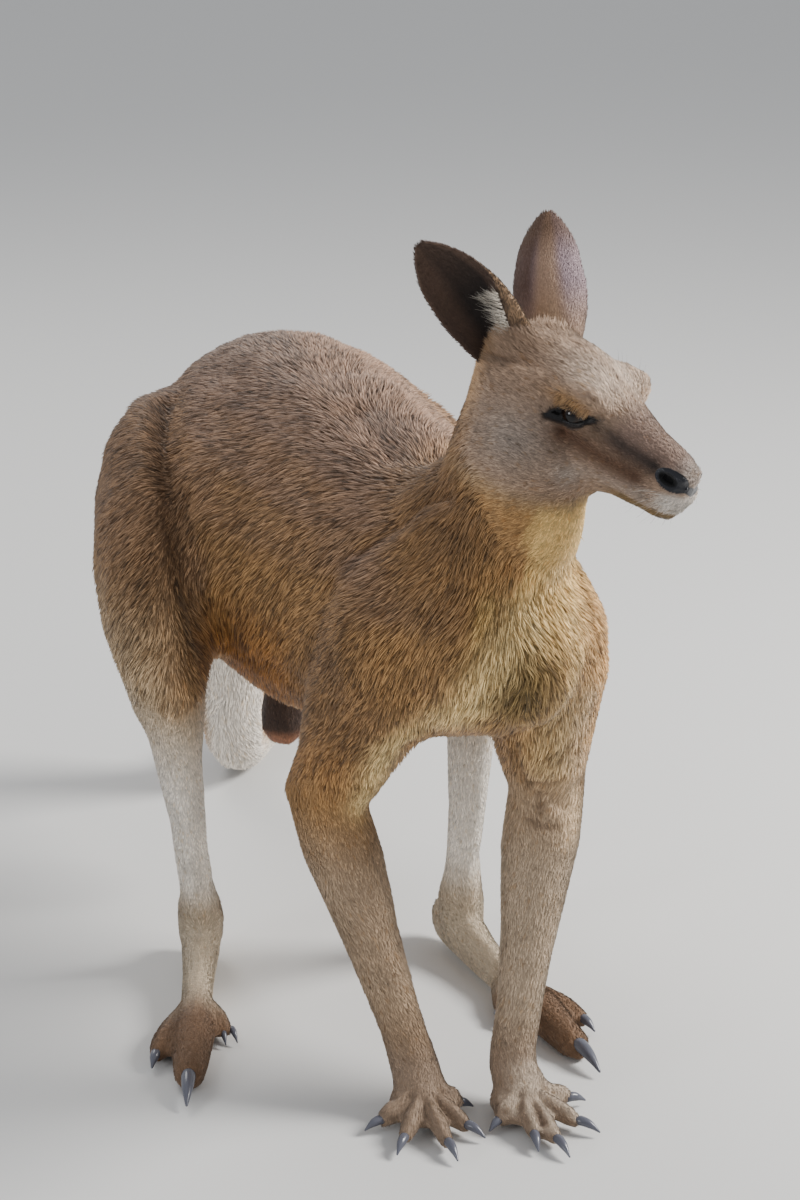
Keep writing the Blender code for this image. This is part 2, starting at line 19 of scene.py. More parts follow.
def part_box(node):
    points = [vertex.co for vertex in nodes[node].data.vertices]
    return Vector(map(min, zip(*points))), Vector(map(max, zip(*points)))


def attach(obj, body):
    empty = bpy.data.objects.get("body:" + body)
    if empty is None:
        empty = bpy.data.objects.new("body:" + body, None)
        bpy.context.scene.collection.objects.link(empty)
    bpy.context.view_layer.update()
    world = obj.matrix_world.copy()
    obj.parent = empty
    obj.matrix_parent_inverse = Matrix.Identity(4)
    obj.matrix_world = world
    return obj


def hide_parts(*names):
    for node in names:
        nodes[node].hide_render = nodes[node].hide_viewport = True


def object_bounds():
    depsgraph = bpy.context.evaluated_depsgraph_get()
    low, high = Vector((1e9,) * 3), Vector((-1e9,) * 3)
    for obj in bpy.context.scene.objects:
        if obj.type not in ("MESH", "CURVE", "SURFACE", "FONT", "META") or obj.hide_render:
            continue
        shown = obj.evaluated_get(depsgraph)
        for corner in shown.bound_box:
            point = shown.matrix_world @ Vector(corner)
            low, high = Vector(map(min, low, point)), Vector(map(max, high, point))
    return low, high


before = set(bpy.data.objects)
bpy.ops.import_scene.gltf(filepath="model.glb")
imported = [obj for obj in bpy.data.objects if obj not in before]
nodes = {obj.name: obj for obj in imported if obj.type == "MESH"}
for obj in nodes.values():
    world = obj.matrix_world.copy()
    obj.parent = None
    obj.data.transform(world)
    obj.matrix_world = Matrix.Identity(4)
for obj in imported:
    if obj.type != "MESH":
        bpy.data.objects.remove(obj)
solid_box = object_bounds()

flesh = sorted(name for name in nodes if not name.startswith(("claw", "eye", "ear")))
dice = np.random.default_rng(11)
print(len(nodes), "solids,", len(flesh), "of them flesh")

# %% [markdown]
# ## The head's own axes
# Most of the careful work is on the head, which is turned and tipped. Its details are easier to place in
# axes that run to the nose, to its left and to its crown. The two eyes show where those axes are, so they
# are worked out from the eyes and from how far the head nods.

# %% Axes of the head
EYE_FORWARD, EYE_UP = 0.117, 0.006  # of the eyes, from the back of the skull
NOD = math.radians(19)


def middle_of(node):
    low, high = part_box(node)
    return (low + high) / 2


SIGNS = {"left": 1, "right": -1}
eye_at = {side: middle_of(f"eye_{side}") for side in SIGNS}
to_left = (eye_at["left"] - eye_at["right"]).normalized()
level_ahead = to_left.cross(Vector((0, 0, 1))).normalized()
ahead = level_ahead * math.cos(NOD) - Vector((0, 0, 1)) * math.sin(NOD)
crown = ahead.cross(to_left).normalized()
head_turn = Matrix((ahead, to_left, crown)).transposed()
head_start = (eye_at["left"] + eye_at["right"]) / 2 - head_turn @ Vector((EYE_FORWARD, 0, EYE_UP))
head_axes = Matrix.Translation(head_start) @ head_turn.to_4x4()
HEAD = np.array(head_axes)
TURN, START = HEAD[:3, :3], HEAD[:3, 3]
print("back of the skull", [round(value, 3) for value in head_start])


def in_head(points):
    """Points in the head's axes: forward, to its left, up."""
    return (points - START) @ TURN


# %% [markdown]
# ## One skin
# The solids were parted with thin cuts, and a skin has no cuts. Swelling each solid by half a millimetre
# closes the cuts, and a voxel remesh then keeps only the outer surface. Sculpting by hand would be the
# usual way from here, but the solids already hold the form, so the remesh is only smoothed.

# %% Join the flesh into one mesh
VOXEL = 0.005
SWELL = 0.0006


def linked(name, data):
    """A new object in the scene, for a mesh, a lamp or a camera."""
    made = bpy.data.objects.new(name, data)
    bpy.context.scene.collection.objects.link(made)
    return made


def mesh_of(name, bm):
    mesh = bpy.data.meshes.new(name)
    bm.to_mesh(mesh)
    bm.free()
    return linked(name, mesh)


def applied(obj):
    """Gives the object the mesh that its modifiers make, and drops the modifiers."""
    graph = bpy.context.evaluated_depsgraph_get()
    mesh = bpy.data.meshes.new_from_object(obj.evaluated_get(graph))
    obj.modifiers.clear()
    obj.data = mesh
    return obj


def joined(names):
    bm = bmesh.new()
    for name in names:
        bm.from_mesh(nodes[name].data)
    bmesh.ops.remove_doubles(bm, verts=bm.verts, dist=1e-5)
    bm.normal_update()
    return bm


swollen = joined(flesh + ["eye_left", "eye_right"])
for vert in swollen.verts:
    vert.co += vert.normal * SWELL
skin = mesh_of("skin", swollen)
remesh = skin.modifiers.new("one skin", "REMESH")
remesh.mode = "VOXEL"
remesh.voxel_size = VOXEL
applied(skin)
print("skin", len(skin.data.vertices), "points")

# %% [markdown]
# ## Smoothing that keeps the volume
# Plain smoothing makes thin limbs thinner. Two steps in turn, one that shrinks and one that swells slightly
# more, take out the flat facets of the solids and leave the size alone.

# %% Smooth the skin


def numbers(rows, what, wide, kind):
    """What is kept on each row of a list, such as the places of points, as a table."""
    found = np.empty(len(rows) * wide, kind)
    rows.foreach_get(what, found)
    return found.reshape(-1, wide)


def points_of(obj):
    return numbers(obj.data.vertices, "co", 3, np.float32).astype(float)


def normals_of(obj):
    return numbers(obj.data.vertex_normals, "vector", 3, np.float32).astype(float)


def edges_of(obj):
    return numbers(obj.data.edges, "vertices", 2, np.int32)


def spread(values, edges):
    """Each point's mean over its neighbours."""
    count = len(values)
    wide = values.reshape(count, -1)
    ends, starts = np.r_[edges[:, 0], edges[:, 1]], np.r_[edges[:, 1], edges[:, 0]]
    near = np.maximum(np.bincount(ends, minlength=count), 1)
    found = [np.bincount(ends, wide[starts, k], minlength=count) / near for k in range(wide.shape[1])]
    return np.stack(found, 1).reshape(values.shape)


def place(obj, points):
    obj.data.vertices.foreach_set("co", points.astype(np.float32).ravel())
    obj.data.update()


def evened(points, edges, rounds, shrink=0.5, swell=-0.515):
    for _ in range(rounds):
        for step in (shrink, swell):
            points = points + (spread(points, edges) - points) * step
    return points


place(skin, evened(points_of(skin), edges_of(skin), 70))
print("smoothed; box", np.round(points_of(skin).min(0), 3), np.round(points_of(skin).max(0), 3))

# %% [markdown]
# ## A finer mesh where the detail is
# Eyelids, nostrils and lips are a millimetre or two across, and the body's own mesh is five. Its faces are
# cut in half once on hands and feet, twice on the face and three times round the eyes. The skin stays one
# mesh.

# %% Refine the head, hands and feet
ENDS = [name for name in flesh if name.startswith(("hand", "foot"))]


def refined(obj, wanted):
    """Halves the edges of the faces whose corners are all wanted."""
    bm = bmesh.new()
    bm.from_mesh(obj.data)
    bm.verts.ensure_lookup_table()
    chosen = {face for face in bm.faces if all(wanted[vert.index] for vert in face.verts)}
    edges = list({edge for face in chosen for edge in face.edges})
    bmesh.ops.subdivide_edges(bm, edges=edges, cuts=1, use_grid_fill=True, smooth=0)
    bm.to_mesh(obj.data)
    bm.free()
    obj.data.update()


def within(points, names, room=0.004):
    found = np.zeros(len(points), bool)
    for name in names:
        low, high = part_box(name)
        found |= ((points > np.array(low) - room) & (points < np.array(high) + room)).all(1)
    return found


def folded(local):
    """Both sides of the head laid on its left side."""
    return local * [1, 0, 1] + np.abs(local) * [0, 1, 0]


def stroke(at, stations, radius):
    """1 along the line through the stations, fading to 0 over the radius. Both are in millimetres."""
    nearest_yet = np.full(len(at), np.inf)
    stations = np.array(stations) / 1000
    for a, b in zip(stations, stations[1:]):
        along = np.clip((at - a) @ (b - a) / ((b - a) @ (b - a)), 0, 1)
        nearest_yet = np.minimum(nearest_yet, np.linalg.norm(at - a - along[:, None] * (b - a), axis=1))
    return np.exp(-((nearest_yet / radius * 1000) ** 2))


# In the head's axes, on its left side.
EYE_SLIT = [(96, 50, 1), (140, 42, 10)]
NOSE = [(206, 24, -11), (236, 8, -12), (238, 2, -30)]
MOUTH = [(242, 0, -40), (236, 12, -43), (222, 24, -47.5), (200, 29, -50.5),
         (178, 31, -52)]


def detailed(points):
    """Round the eyes, the nose and the line of the mouth."""
    side = folded(in_head(points))
    bands = (EYE_SLIT, 13), (NOSE, 9), (MOUTH, 5)
    return sum(stroke(side, stations, reach) for stations, reach in bands) > math.exp(-1)


rounds = (
    lambda points: within(points, ENDS + ["head"]),
    lambda points: within(points, ["head"]) & (in_head(points)[:, 0] > 0.075),
    detailed,
)
for wanted in rounds:
    refined(skin, wanted(points_of(skin)))
    print("refined to", len(skin.data.vertices), "points")

# %% [markdown]
# ## Back onto the solids
# Fingers, toes and face lost some of their form in the remesh. Each point there moves most of the way back
# to the nearest place on the solids.

# %% Fit the fine parts to the solids
solid = joined(flesh + ["eye_left", "eye_right"])
solid_tree = BVHTree.FromBMesh(solid)
solid.free()


def nearest(tree, points):
    """For each point the nearest place on the tree's surface, and its face."""
    found = [tree.find_nearest(point) for point in points]
    return np.array([hit[0] for hit in found]), np.array([hit[2] for hit in found])


edges = edges_of(skin)
points = points_of(skin)
fine = within(points, ENDS + ["head"]).astype(float)
for _ in range(4):
    fine = spread(fine, edges)
chosen = np.flatnonzero(fine > 0.02)
spots, _ = nearest(solid_tree, points[chosen])
points[chosen] += (spots - points[chosen]) * (0.8 * fine[chosen])[:, None]
points = points + (evened(points, edges, 5) - points) * fine[:, None]
place(skin, points)
print("fitted", len(chosen), "points to the solids")

# %% [markdown]
# ## Which part of the animal a place belongs to
# Hair length, hair direction and colour all depend on the part of the body. Each point of the skin takes
# the name of the nearest solid. A share for each part, smoothed over the surface, then fades one part into
# the next.

# %% Shares of the body parts
owner = np.concatenate([np.full(len(nodes[name].data.polygons), k) for k, name in enumerate(flesh)])
corners, faces = [], []
for name in flesh:
    mesh = nodes[name].data
    faces += [[index + len(corners) for index in face.vertices] for face in mesh.polygons]
    corners += [tuple(vert.co) for vert in mesh.vertices]
part_tree = BVHTree.FromPolygons(corners, faces)
_, hit = nearest(part_tree, points)
part_of = owner[hit]
share = {name: (part_of == k).astype(float) for k, name in enumerate(flesh)}
table = np.stack([share[name] for name in flesh], 1)
for _ in range(70):
    table = spread(table, edges)
share = dict(zip(flesh, table.T))
for name in flesh:
    print(f"{name:16s} {int((part_of == flesh.index(name)).sum()):6d} points")


def on(*starts):
    """The share of all the parts whose names start so."""
    return sum(values for name, values in share.items() if name.startswith(starts))

# %% [markdown]
# ## The lie of the coat
# Hair runs from the nose back over the head, down the neck, back and down over the flanks, down every leg
# and out along the tail. Each part of the body gets one direction, mostly its own long axis, and the
# directions are smoothed over the skin and pressed flat onto it, as a comb would.

# %% Comb the coat
BACK, DOWN = np.array([0, 1.0, 0]), np.array([0, 0, -1.0])
LEANS = {"neck": BACK * 0.35 + DOWN, "trunk": BACK * 0.55 + DOWN * 0.85, "thigh": BACK * 0.3 + DOWN}


def unit(rows):
    return rows / np.maximum(np.linalg.norm(rows, axis=-1, keepdims=True), 1e-9)


def pressed(ways, out):
    """Directions laid flat on a skin that faces out."""
    return unit(ways - out * (ways * out).sum(1)[:, None])


def long_axis(name, towards):
    """The direction in which a solid is longest, pointing the way that towards does."""
    found = points_of(nodes[name])
    axis = np.linalg.svd(found - found.mean(0), full_matrices=False)[2][0]
    return axis * np.sign(axis @ towards)


def lie_of(name, points):
    """The rough direction of the hair at points on one part."""
    if name == "head":
        return unit(points - np.array(head_axes @ Vector((0.245, 0, -0.018))))
    if name.startswith(tuple(LEANS)):
        return LEANS[name.split("_")[0]]
    if name.startswith("tail"):
        return long_axis(name, BACK * 0.4 + DOWN)
    if name.startswith("hand"):
        low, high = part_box(name)
        wrist = np.array([(low.x + high.x) / 2, high.y, high.z])
        return unit(points - wrist)
    if name.startswith("foot"):
        return long_axis(name, -BACK) + DOWN * 0.15
    return long_axis(name, DOWN)


normals = normals_of(skin)
lie = np.zeros_like(points)
for k, name in enumerate(flesh):
    mine = part_of == k
    lie[mine] = np.broadcast_to(lie_of(name, points[mine]), (mine.sum(), 3))
for _ in range(60):
    lie = pressed(spread(lie, edges), normals)
print("combed", len(lie), "points")

# %% [markdown]
# ## Where the flesh lies under the coat
# The solids are the outside of the coat. The skin lies deeper by the coat's depth, which is most on the
# back and neck and least on the face and hands. The soles stay on the floor.

# %% Sink the skin by the coat's depth
# For each part: depth of the coat, length and width of a lock in millimetres, and locks on a square
# centimetre.
COATS = {
    "trunk": (6.0, 17, 1.05, 22),
    "neck": (6.5, 15.5, 0.85, 31),
    "head": (1.6, 6.0, 0.6, 85),
    "thigh": (5.5, 15, 1.05, 22),
    "upper_arm": (4.5, 13, 0.95, 27),
    "forearm": (2.0, 7.0, 0.66, 44),
    "shank": (1.8, 6.5, 0.68, 38),
    "hand": (1.1, 4.4, 0.55, 56),
    "foot": (1.3, 4.8, 0.6, 44),
    "tail": (3.5, 12, 1.0, 22),
    "scrotum": (1.0, 4.5, 0.7, 30),
}
MM = 0.001
depth, length, width, density = (
    sum(share[name] * next(row[k] for key, row in COATS.items() if name.startswith(key)) for name in flesh)
    for k in range(4)
)
depth, length, width = depth * MM, length * MM, width * MM
FLOOR_GAP = 0.0004
sole = np.clip((0.02 - points[:, 2]) / 0.012, 0, 1) * np.clip(-normals[:, 2], 0, 1)
depth = depth * (1 - sole)
for _ in range(6):
    depth = spread(depth, edges)
points = points - normals * depth[:, None]
points[:, 2] = np.maximum(points[:, 2], FLOOR_GAP)
place(skin, points)
normals = normals_of(skin)
print("depth from", round(depth.min() * 1000, 1), "to", round(depth.max() * 1000, 1), "mm")

# %% [markdown]
# ## Sculpting by numbers
# A sculptor would now push and pull the skin with a soft brush. Here a brush is a place, a size and a
# height: spots for muscles and hollows, lines for folds. They move points along the skin's normal, and each
# one is soft at its edge. Folds of the body come first: thigh against flank, neck against shoulder, arm
# against chest.

# %% Folds and muscles of the body


def fade(values, start, end):
    """0 at start and 1 at end, with soft ends."""
    part = np.clip((values - start) / (end - start), 0, 1)
    return part * part * (3 - 2 * part)


def spot(at, place, radii):
    """1 at the place, fading to 0 over the radii. Both are in millimetres."""
    away = (at * 1000 - place) / radii
    return np.exp(-(away**2).sum(1))


THIGH_FOLD = [(-138, -142, 625), (-164, -232, 606), (-176, -319, 567), (-179, -383, 512),
              (-176, -420, 458)]
FLANK_EDGE = [(-105, -160, 640), (-130, -250, 615), (-142, -340, 560), (-142, -400, 500)]
NECK_FOLD = [(4, -668, 660), (-10, -632, 643), (-28, -606, 612), (-52, -585, 585)]
ARM_FOLD = [(40, -725, 568), (20, -735, 530), (2, -722, 475), (-30, -690, 420)]
SPINE = [(2, -290, 684), (2, -347, 676), (2, -407, 667), (3, -457, 658), (6, -508, 650)]
BACK_MUSCLE = [(45, -340, 676), (50, -420, 664), (52, -490, 650)]
ELBOW_FOLDS = (  # creases in front of the left elbow
    [(84, -630, 389), (94, -620, 367), (102, -612, 347), (112, -608, 329)],
    [(112, -610, 332), (123, -619, 335), (139, -621, 334)],
    [(124, -609, 318), (124, -608, 300)],
    [(113, -606, 291), (121, -614, 284), (136, -618, 280)],
)
BODY_STROKES = [  # stations, radius, height, all in millimetres
    (BACK_MUSCLE, 30, 6),
    (THIGH_FOLD, 12, -14),
    (FLANK_EDGE, 22, 5),
    (SPINE[:3], 20, -3),
    (SPINE[2:], 15, -7),
    (NECK_FOLD, 10, -7),
    (ARM_FOLD, 16, -7),
    ([(120, -620, 318), (148, -615, 300)], 7, -4),
    ([(90, -668, 430), (100, -650, 385)], 12, -8),
    ([(-60, -600, 640), (-20, -560, 655)], 20, 4),
]
BODY_SPOTS = (  # place, radii, height
    ((-75, -610, 530), (50, 60, 70), 7),
    ((50, -745, 480), (40, 40, 50), 5),
    ((105, -690, 625), (35, 35, 55), 7),
    ((-95, -560, 420), (50, 40, 50), 5),
)


# Between the fingers the skin dips, and over each finger a sinew stands out. The palm's middle and the
# direction of each finger, in degrees from straight ahead to the animal's left, thumb first.
HANDS = {
    "right": ((-17.1, -664.1), (88, 34, 2, -36, -78)),
    "left": ((81, -692), (-61, -10, 7, 43, 92)),
}


def ray(middle, heading, near, far):
    """A line over the back of the hand, from near to far from the palm's middle."""
    way = np.array([math.sin(math.radians(heading)), -math.cos(math.radians(heading))])
    return [(*(middle + way * near), 36), (*(middle + way * far), 20)]


CLEFTS, SINEWS = [], []
for middle, turns in HANDS.values():
    CLEFTS += [ray(middle, (a + b) / 2, 20, 52) for a, b in zip(turns, turns[1:]) if abs(a - b) > 12]
    SINEWS += [ray(middle, turn, 8, 48) for turn in turns]


def mirrored(stations):
    return [(-x, y, z) for x, y, z in stations]


def sculpted(at, strokes, spots):
    """How far strokes and spots lift the skin. Each has a place, a radius and a height, in millimetres."""
    lift = sum(stroke(at, stations, radius) * height for stations, radius, height in strokes)
    return (lift + sum(spot(at, centre, radii) * height for centre, radii, height in spots)) / 1000


BODY_STROKES += [(mirrored(line), radius, height) for line, radius, height in BODY_STROKES[:3]]
BODY_STROKES += [(line, 4.5, -6) for line in CLEFTS]
BODY_STROKES += [(line, 5, -4.2) for line in ELBOW_FOLDS]
BODY_STROKES += [(line, 5, 1.6) for line in SINEWS]
lift = sculpted(points, BODY_STROKES, BODY_SPOTS)
points = points + normals * lift[:, None]
print("folds from", round(lift.min() * 1000, 1), "to", round(lift.max() * 1000, 1), "mm")

# %% [markdown]
# ## The face
# The same brushes, used in the head's axes and mirrored, shape brow, cheek, jaw and lips. The mouth is a
# fine groove that runs back from under the nose, with the upper lip full above it and the lower lip set in.

# %% Sculpt the face
FACE_SPOTS = (  # place, radii, height
    ((110, 47, 27), (26, 14, 8), 3.8),  # brow
    ((133, 40, 31), (12, 10, 8), 3),  # bump in front of the brow
    ((148, 40, 4), (10, 12, 8), -3),  # hollow in front of the eye
    ((82, 60, -34), (30, 22, 26), 3),  # cheek
    ((80, 46, 20), (16, 14, 12), -2),  # temple
    ((36, 26, 40), (22, 16, 16), 8),  # root of the ear
    ((217, 23, -34), (16, 13, 8), 3.8),  # upper lip
    ((232, 8, -31), (8, 7, 8), 1.6),
    ((222, 0, -56), (18, 18, 7), 4),  # chin
    ((142, 42, 8.5), (3, 4, 2.5), 1.6),  # tear corner
    ((230.5, 13.5, -9.5), (4.8, 6, 4.2), 3.6),  # wing of the nostril
    ((217, 24, -21.5), (8, 6, 2.5), 1.8),  # its lower rim
)
FACE_STROKES = (  # stations, radius, height
    ([(150, 38, -4), (178, 33, -8), (202, 27, -10)], 8, -2.4),  # side of the nose
    ([(98, 56, -14), (125, 50, -13), (155, 42, -18)], 6, 1.6),  # cheekbone
    ([(50, 46, -68), (100, 45, -70), (160, 32, -62)], 10, 3),  # jaw
    ([(60, 40, -88), (110, 36, -84), (160, 20, -74)], 10, -3),  # under the jaw
    ([(80, 0, 52), (150, 0, 30)], 7, -1.4),  # middle of the forehead
    (MOUTH, 1.6, -3.6),
    ([(240, 0, -22), (240, 0, -40)], 1.4, -3),  # groove of the lip
)
# Middle, long axis (forward, inward, down), half length and half height of the bare nose and of its
# opening.
NOSE_PAD = (0.222, 0.019, -0.0132), (0.86, -0.44, -0.22), 0.0176, 0.0094
NOSTRIL_DEPTH, PAD_DEPTH = 0.008, 0.0005
NOSTRIL = (0.2185, 0.0218, -0.0128), (0.84, -0.44, -0.3), 0.0122, 0.006


def inside_oval(at, middle, axis, half_long, half_high):
    """0 at the middle of a long round shape, 1 at its rim."""
    away = at - np.array(middle)
    along = away @ unit(np.array(axis))
    return np.sqrt((along / half_long) ** 2 + ((away**2).sum(1) - along**2) / half_high**2)


face = within(points, ["head"], 0.0)
side = folded(in_head(points))
lift = sculpted(side, FACE_STROKES, FACE_SPOTS)
opening, pad = inside_oval(side, *NOSTRIL), inside_oval(side, *NOSE_PAD)
lift -= NOSTRIL_DEPTH * fade(opening, 1, 0.4) + PAD_DEPTH * fade(pad, 1.1, 1)
points = points + normals * (lift * face)[:, None]
place(skin, points)
normals = normals_of(skin)
print("face from", round(lift.min() * 1000, 1), "to", round(lift.max() * 1000, 1), "mm")

# %% [markdown]
# ## Eyelids
# The eyeball is a separate ball, set in the head at its real depth. The skin is first draped over it.
# Points near the edge of the opening are moved exactly onto that edge, and those inside it drop behind the
# ball, so the lids end in a clean, thick rim. A fold follows above the upper lid and one below the lower.

# %% Drape the lids and open them
BALL = (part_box("eye_left")[1].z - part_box("eye_left")[0].z) / 2
LID = 0.0011
HALF_SLIT = 0.0185
UPPER, LOWER = 0.006, 0.0042  # how far each lid is from the line between the corners
SNAP = 0.00035


def eye_view(points, side_name):
    """Places as seen from in front of the eye: along the slit, up and out of the head, from its middle."""
    turned = [1, SIGNS[side_name], 1]
    back, front = np.array(EYE_SLIT) / 1000 * turned
    ball = in_head(np.array([eye_at[side_name]]))[0]
    middle = (back + front) / 2
    slit = unit(front - back)
    out = (middle - ball) - slit * ((middle - ball) @ slit)
    out = unit(out)
    up = np.cross(out, slit) * turned[1] * -1
    axes = np.stack([slit, up, out], 1)
    return (in_head(points) - middle) @ axes, (ball - middle) @ axes, axes, middle


def past_lid(s, t):
    """Distance outside the opening, less than 0 inside it."""
    bow = np.clip(1 - (s / HALF_SLIT) ** 2, 0, 1)
    inside = np.maximum(t - UPPER * bow, -LOWER * bow - t)
    return np.where(np.abs(s) < HALF_SLIT, inside, np.hypot(np.abs(s) - HALF_SLIT, t))


lid_margin = np.full(len(points), 1.0)  # each point's distance from an eye's opening
for name in eye_at:
    seen, ball, axes, middle = eye_view(points, name)
    s, t, o = seen.T
    near = (np.abs(s) < 0.03) & (np.abs(t) < 0.018) & (o > ball[2] - 0.004) & face
    rim = past_lid(s, t)
    snapped = near & (np.abs(rim) < SNAP) & (np.abs(s) < HALF_SLIT)
    bow = np.clip(1 - (s / HALF_SLIT) ** 2, 0, 1)
    t = np.where(snapped, np.where(t > 0, UPPER * bow, -LOWER * bow), t)
    away = np.stack([s, t, o], 1) - ball
    far = np.linalg.norm(away, axis=1)
    thick = LID + 0.0005 * np.exp(-((rim / 0.0014) ** 2)) + 0.0007 * np.exp(-((rim - 0.0065) / 0.0014) ** 2)
    fold = np.where(t > 0, 0.0045, 0.0038)
    thick -= 0.0009 * np.exp(-(((rim - fold) / 0.0009) ** 2))
    wanted = np.where(far < BALL + thick, BALL + thick, far)
    wanted = np.where(rim < -SNAP, BALL - 0.0045, wanted)
    moved = ball + unit(away) * wanted[:, None]
    corner = near & (rim < -SNAP) & (np.linalg.norm(np.stack([s, t], 1) - ball[:2], axis=1) > BALL * 0.92)
    moved[corner] = np.stack([s, t, o - 0.0035], 1)[corner]
    points[near] = (TURN @ (middle + moved[near] @ axes.T).T).T + START
    worn = rim + np.where(t > 0, 0.0016, -0.0008)  # hair comes nearer to the edge of the upper lid
    lid_margin = np.where(near, np.minimum(lid_margin, worn), lid_margin)
    way_out = unit(np.stack([s / HALF_SLIT**2, t / 0.01**2, np.zeros(len(s))], 1)) @ (TURN @ axes).T
    lie += way_out * (1.6 * np.exp(-((np.maximum(rim, 0) / 0.006) ** 2)) * near)[:, None]
place(skin, points)
normals = normals_of(skin)
for _ in range(4):
    lie = pressed(spread(lie, edges), normals)
# Hair is shortest on the muzzle and round the eyes, and curls a little on the chest.
muzzle = fade(in_head(points)[:, 0], 0.11, 0.19) * on("head")
length = length * (1 - 0.45 * muzzle) * (1 - 0.45 * fade(lid_margin, 0.012, 0.003))
width = width * (1 - 0.15 * muzzle)
curly = spot(points, (55, -745, 485), (35, 45, 45))
print("eyeballs of", round(BALL * 1000, 1), "mm,", int((lid_margin < 0).sum()), "points inside the openings")

# %% [markdown]
# ## Ruffs and brows
# Most hair lies flat. At the roots of the ears it stands up along the ear in a thick ruff that hides the
# join, and over the eye a brow of longer hair hangs down to the lid. Both are set here, as lengths,
# directions and a height that the hair stands off the skin.

# %% Set the hair round ears and eyes
# In the head's axes: the middle of the ear's root, its tip, and the way that its open side faces.
EARS = {
    "right": ((0.026, -0.028, 0.024), (-0.063, -0.09, 0.099), (0.66, -0.75, 0.08)),
    "left": ((0.032, 0.03, 0.022), (-0.036, 0.073, 0.115), (-0.3, 0.9, -0.4)),
}


def ear_ways(name):
    """The ear's root, and its directions: to the tip, across, and to the open side."""
    root, tip, open_side = (np.array(part) for part in EARS[name])
    along = unit(tip - root)
    open_side = unit(open_side - along * (open_side @ along))
    ways = along, np.cross(along, open_side), open_side
    return TURN @ root + START, np.linalg.norm(tip - root), [TURN @ way for way in ways]


stand = np.zeros(len(points))
for name in EARS:
    root, _, (along, _, _) = ear_ways(name)
    ruff = spot(points, (root + along * 0.004) * 1000, (24, 24, 24)) * on("head")
    lie = lie * (1 - ruff)[:, None] + along * (1.6 * ruff)[:, None]
    length += ruff * 0.015
    stand += ruff * 0.014
side = folded(in_head(points))
brow = spot(side, (115, 50, 17.5), (17, 14, 6.5)) * on("head")
hang = TURN @ unit(np.array([-0.25, 0, -1.0]))
lie = lie * (1 - brow)[:, None] + hang * (1.8 * brow)[:, None]
length += brow * 0.005
stand += brow * 0.0022
lie = pressed(lie, normals)
print("ruffs on", int((stand > 0.001).sum()), "points")

# %% [markdown]
# ## Markings and painted shade
# One formula gives the colour of every place on the body. The skin takes it as it is, and each lock takes
# it at its root, so skin and coat agree. It is painted as a colour on the mesh's points, not as a picture,
# so it stays sharp at any distance. Besides the coat's own colours it paints shade into the folds of thigh
# and neck, the elbow creases, the furrow of the spine and the clefts between the fingers. It also paints
# shade on the side of the neck under the jaw, and a highlight on top of the left hand.

# %% Colours of the body


def tone(red, green, blue):
    """A colour given as 0 to 255 on a screen, as the linear numbers that a shader takes."""
    return ((np.array([red, green, blue]) / 255 + 0.055) / 1.055) ** 2.4


FAWN = tone(172, 132, 84)
MAUVE = tone(146, 118, 100)
OCHRE = tone(176, 112, 30)
GOLD = tone(200, 156, 102)
CREAM = tone(244, 216, 166)
PALE = tone(248, 240, 228)
UMBER = tone(92, 66, 46)
DUSK = tone(178, 156, 132)
BLACK_BROWN = tone(38, 28, 23)
COOL_GREY = tone(150, 136, 124)
RUST = tone(84, 54, 34)
TOE = tone(122, 94, 70)
WHITE = tone(232, 224, 214)
BLACK = tone(16, 14, 15)


def laid(colours, *layers):
    """Lays layers over the colours, each of one colour and its amount at every place."""
    for over, amount in layers:
        colours = colours + (over - colours) * np.clip(amount, 0, 1)[:, None]
    return colours


def facing(direction, start, end):
    """1 where the skin faces the direction, 0 where it faces away from it."""
    return fade(normals @ unit(np.array(direction)), start, end)


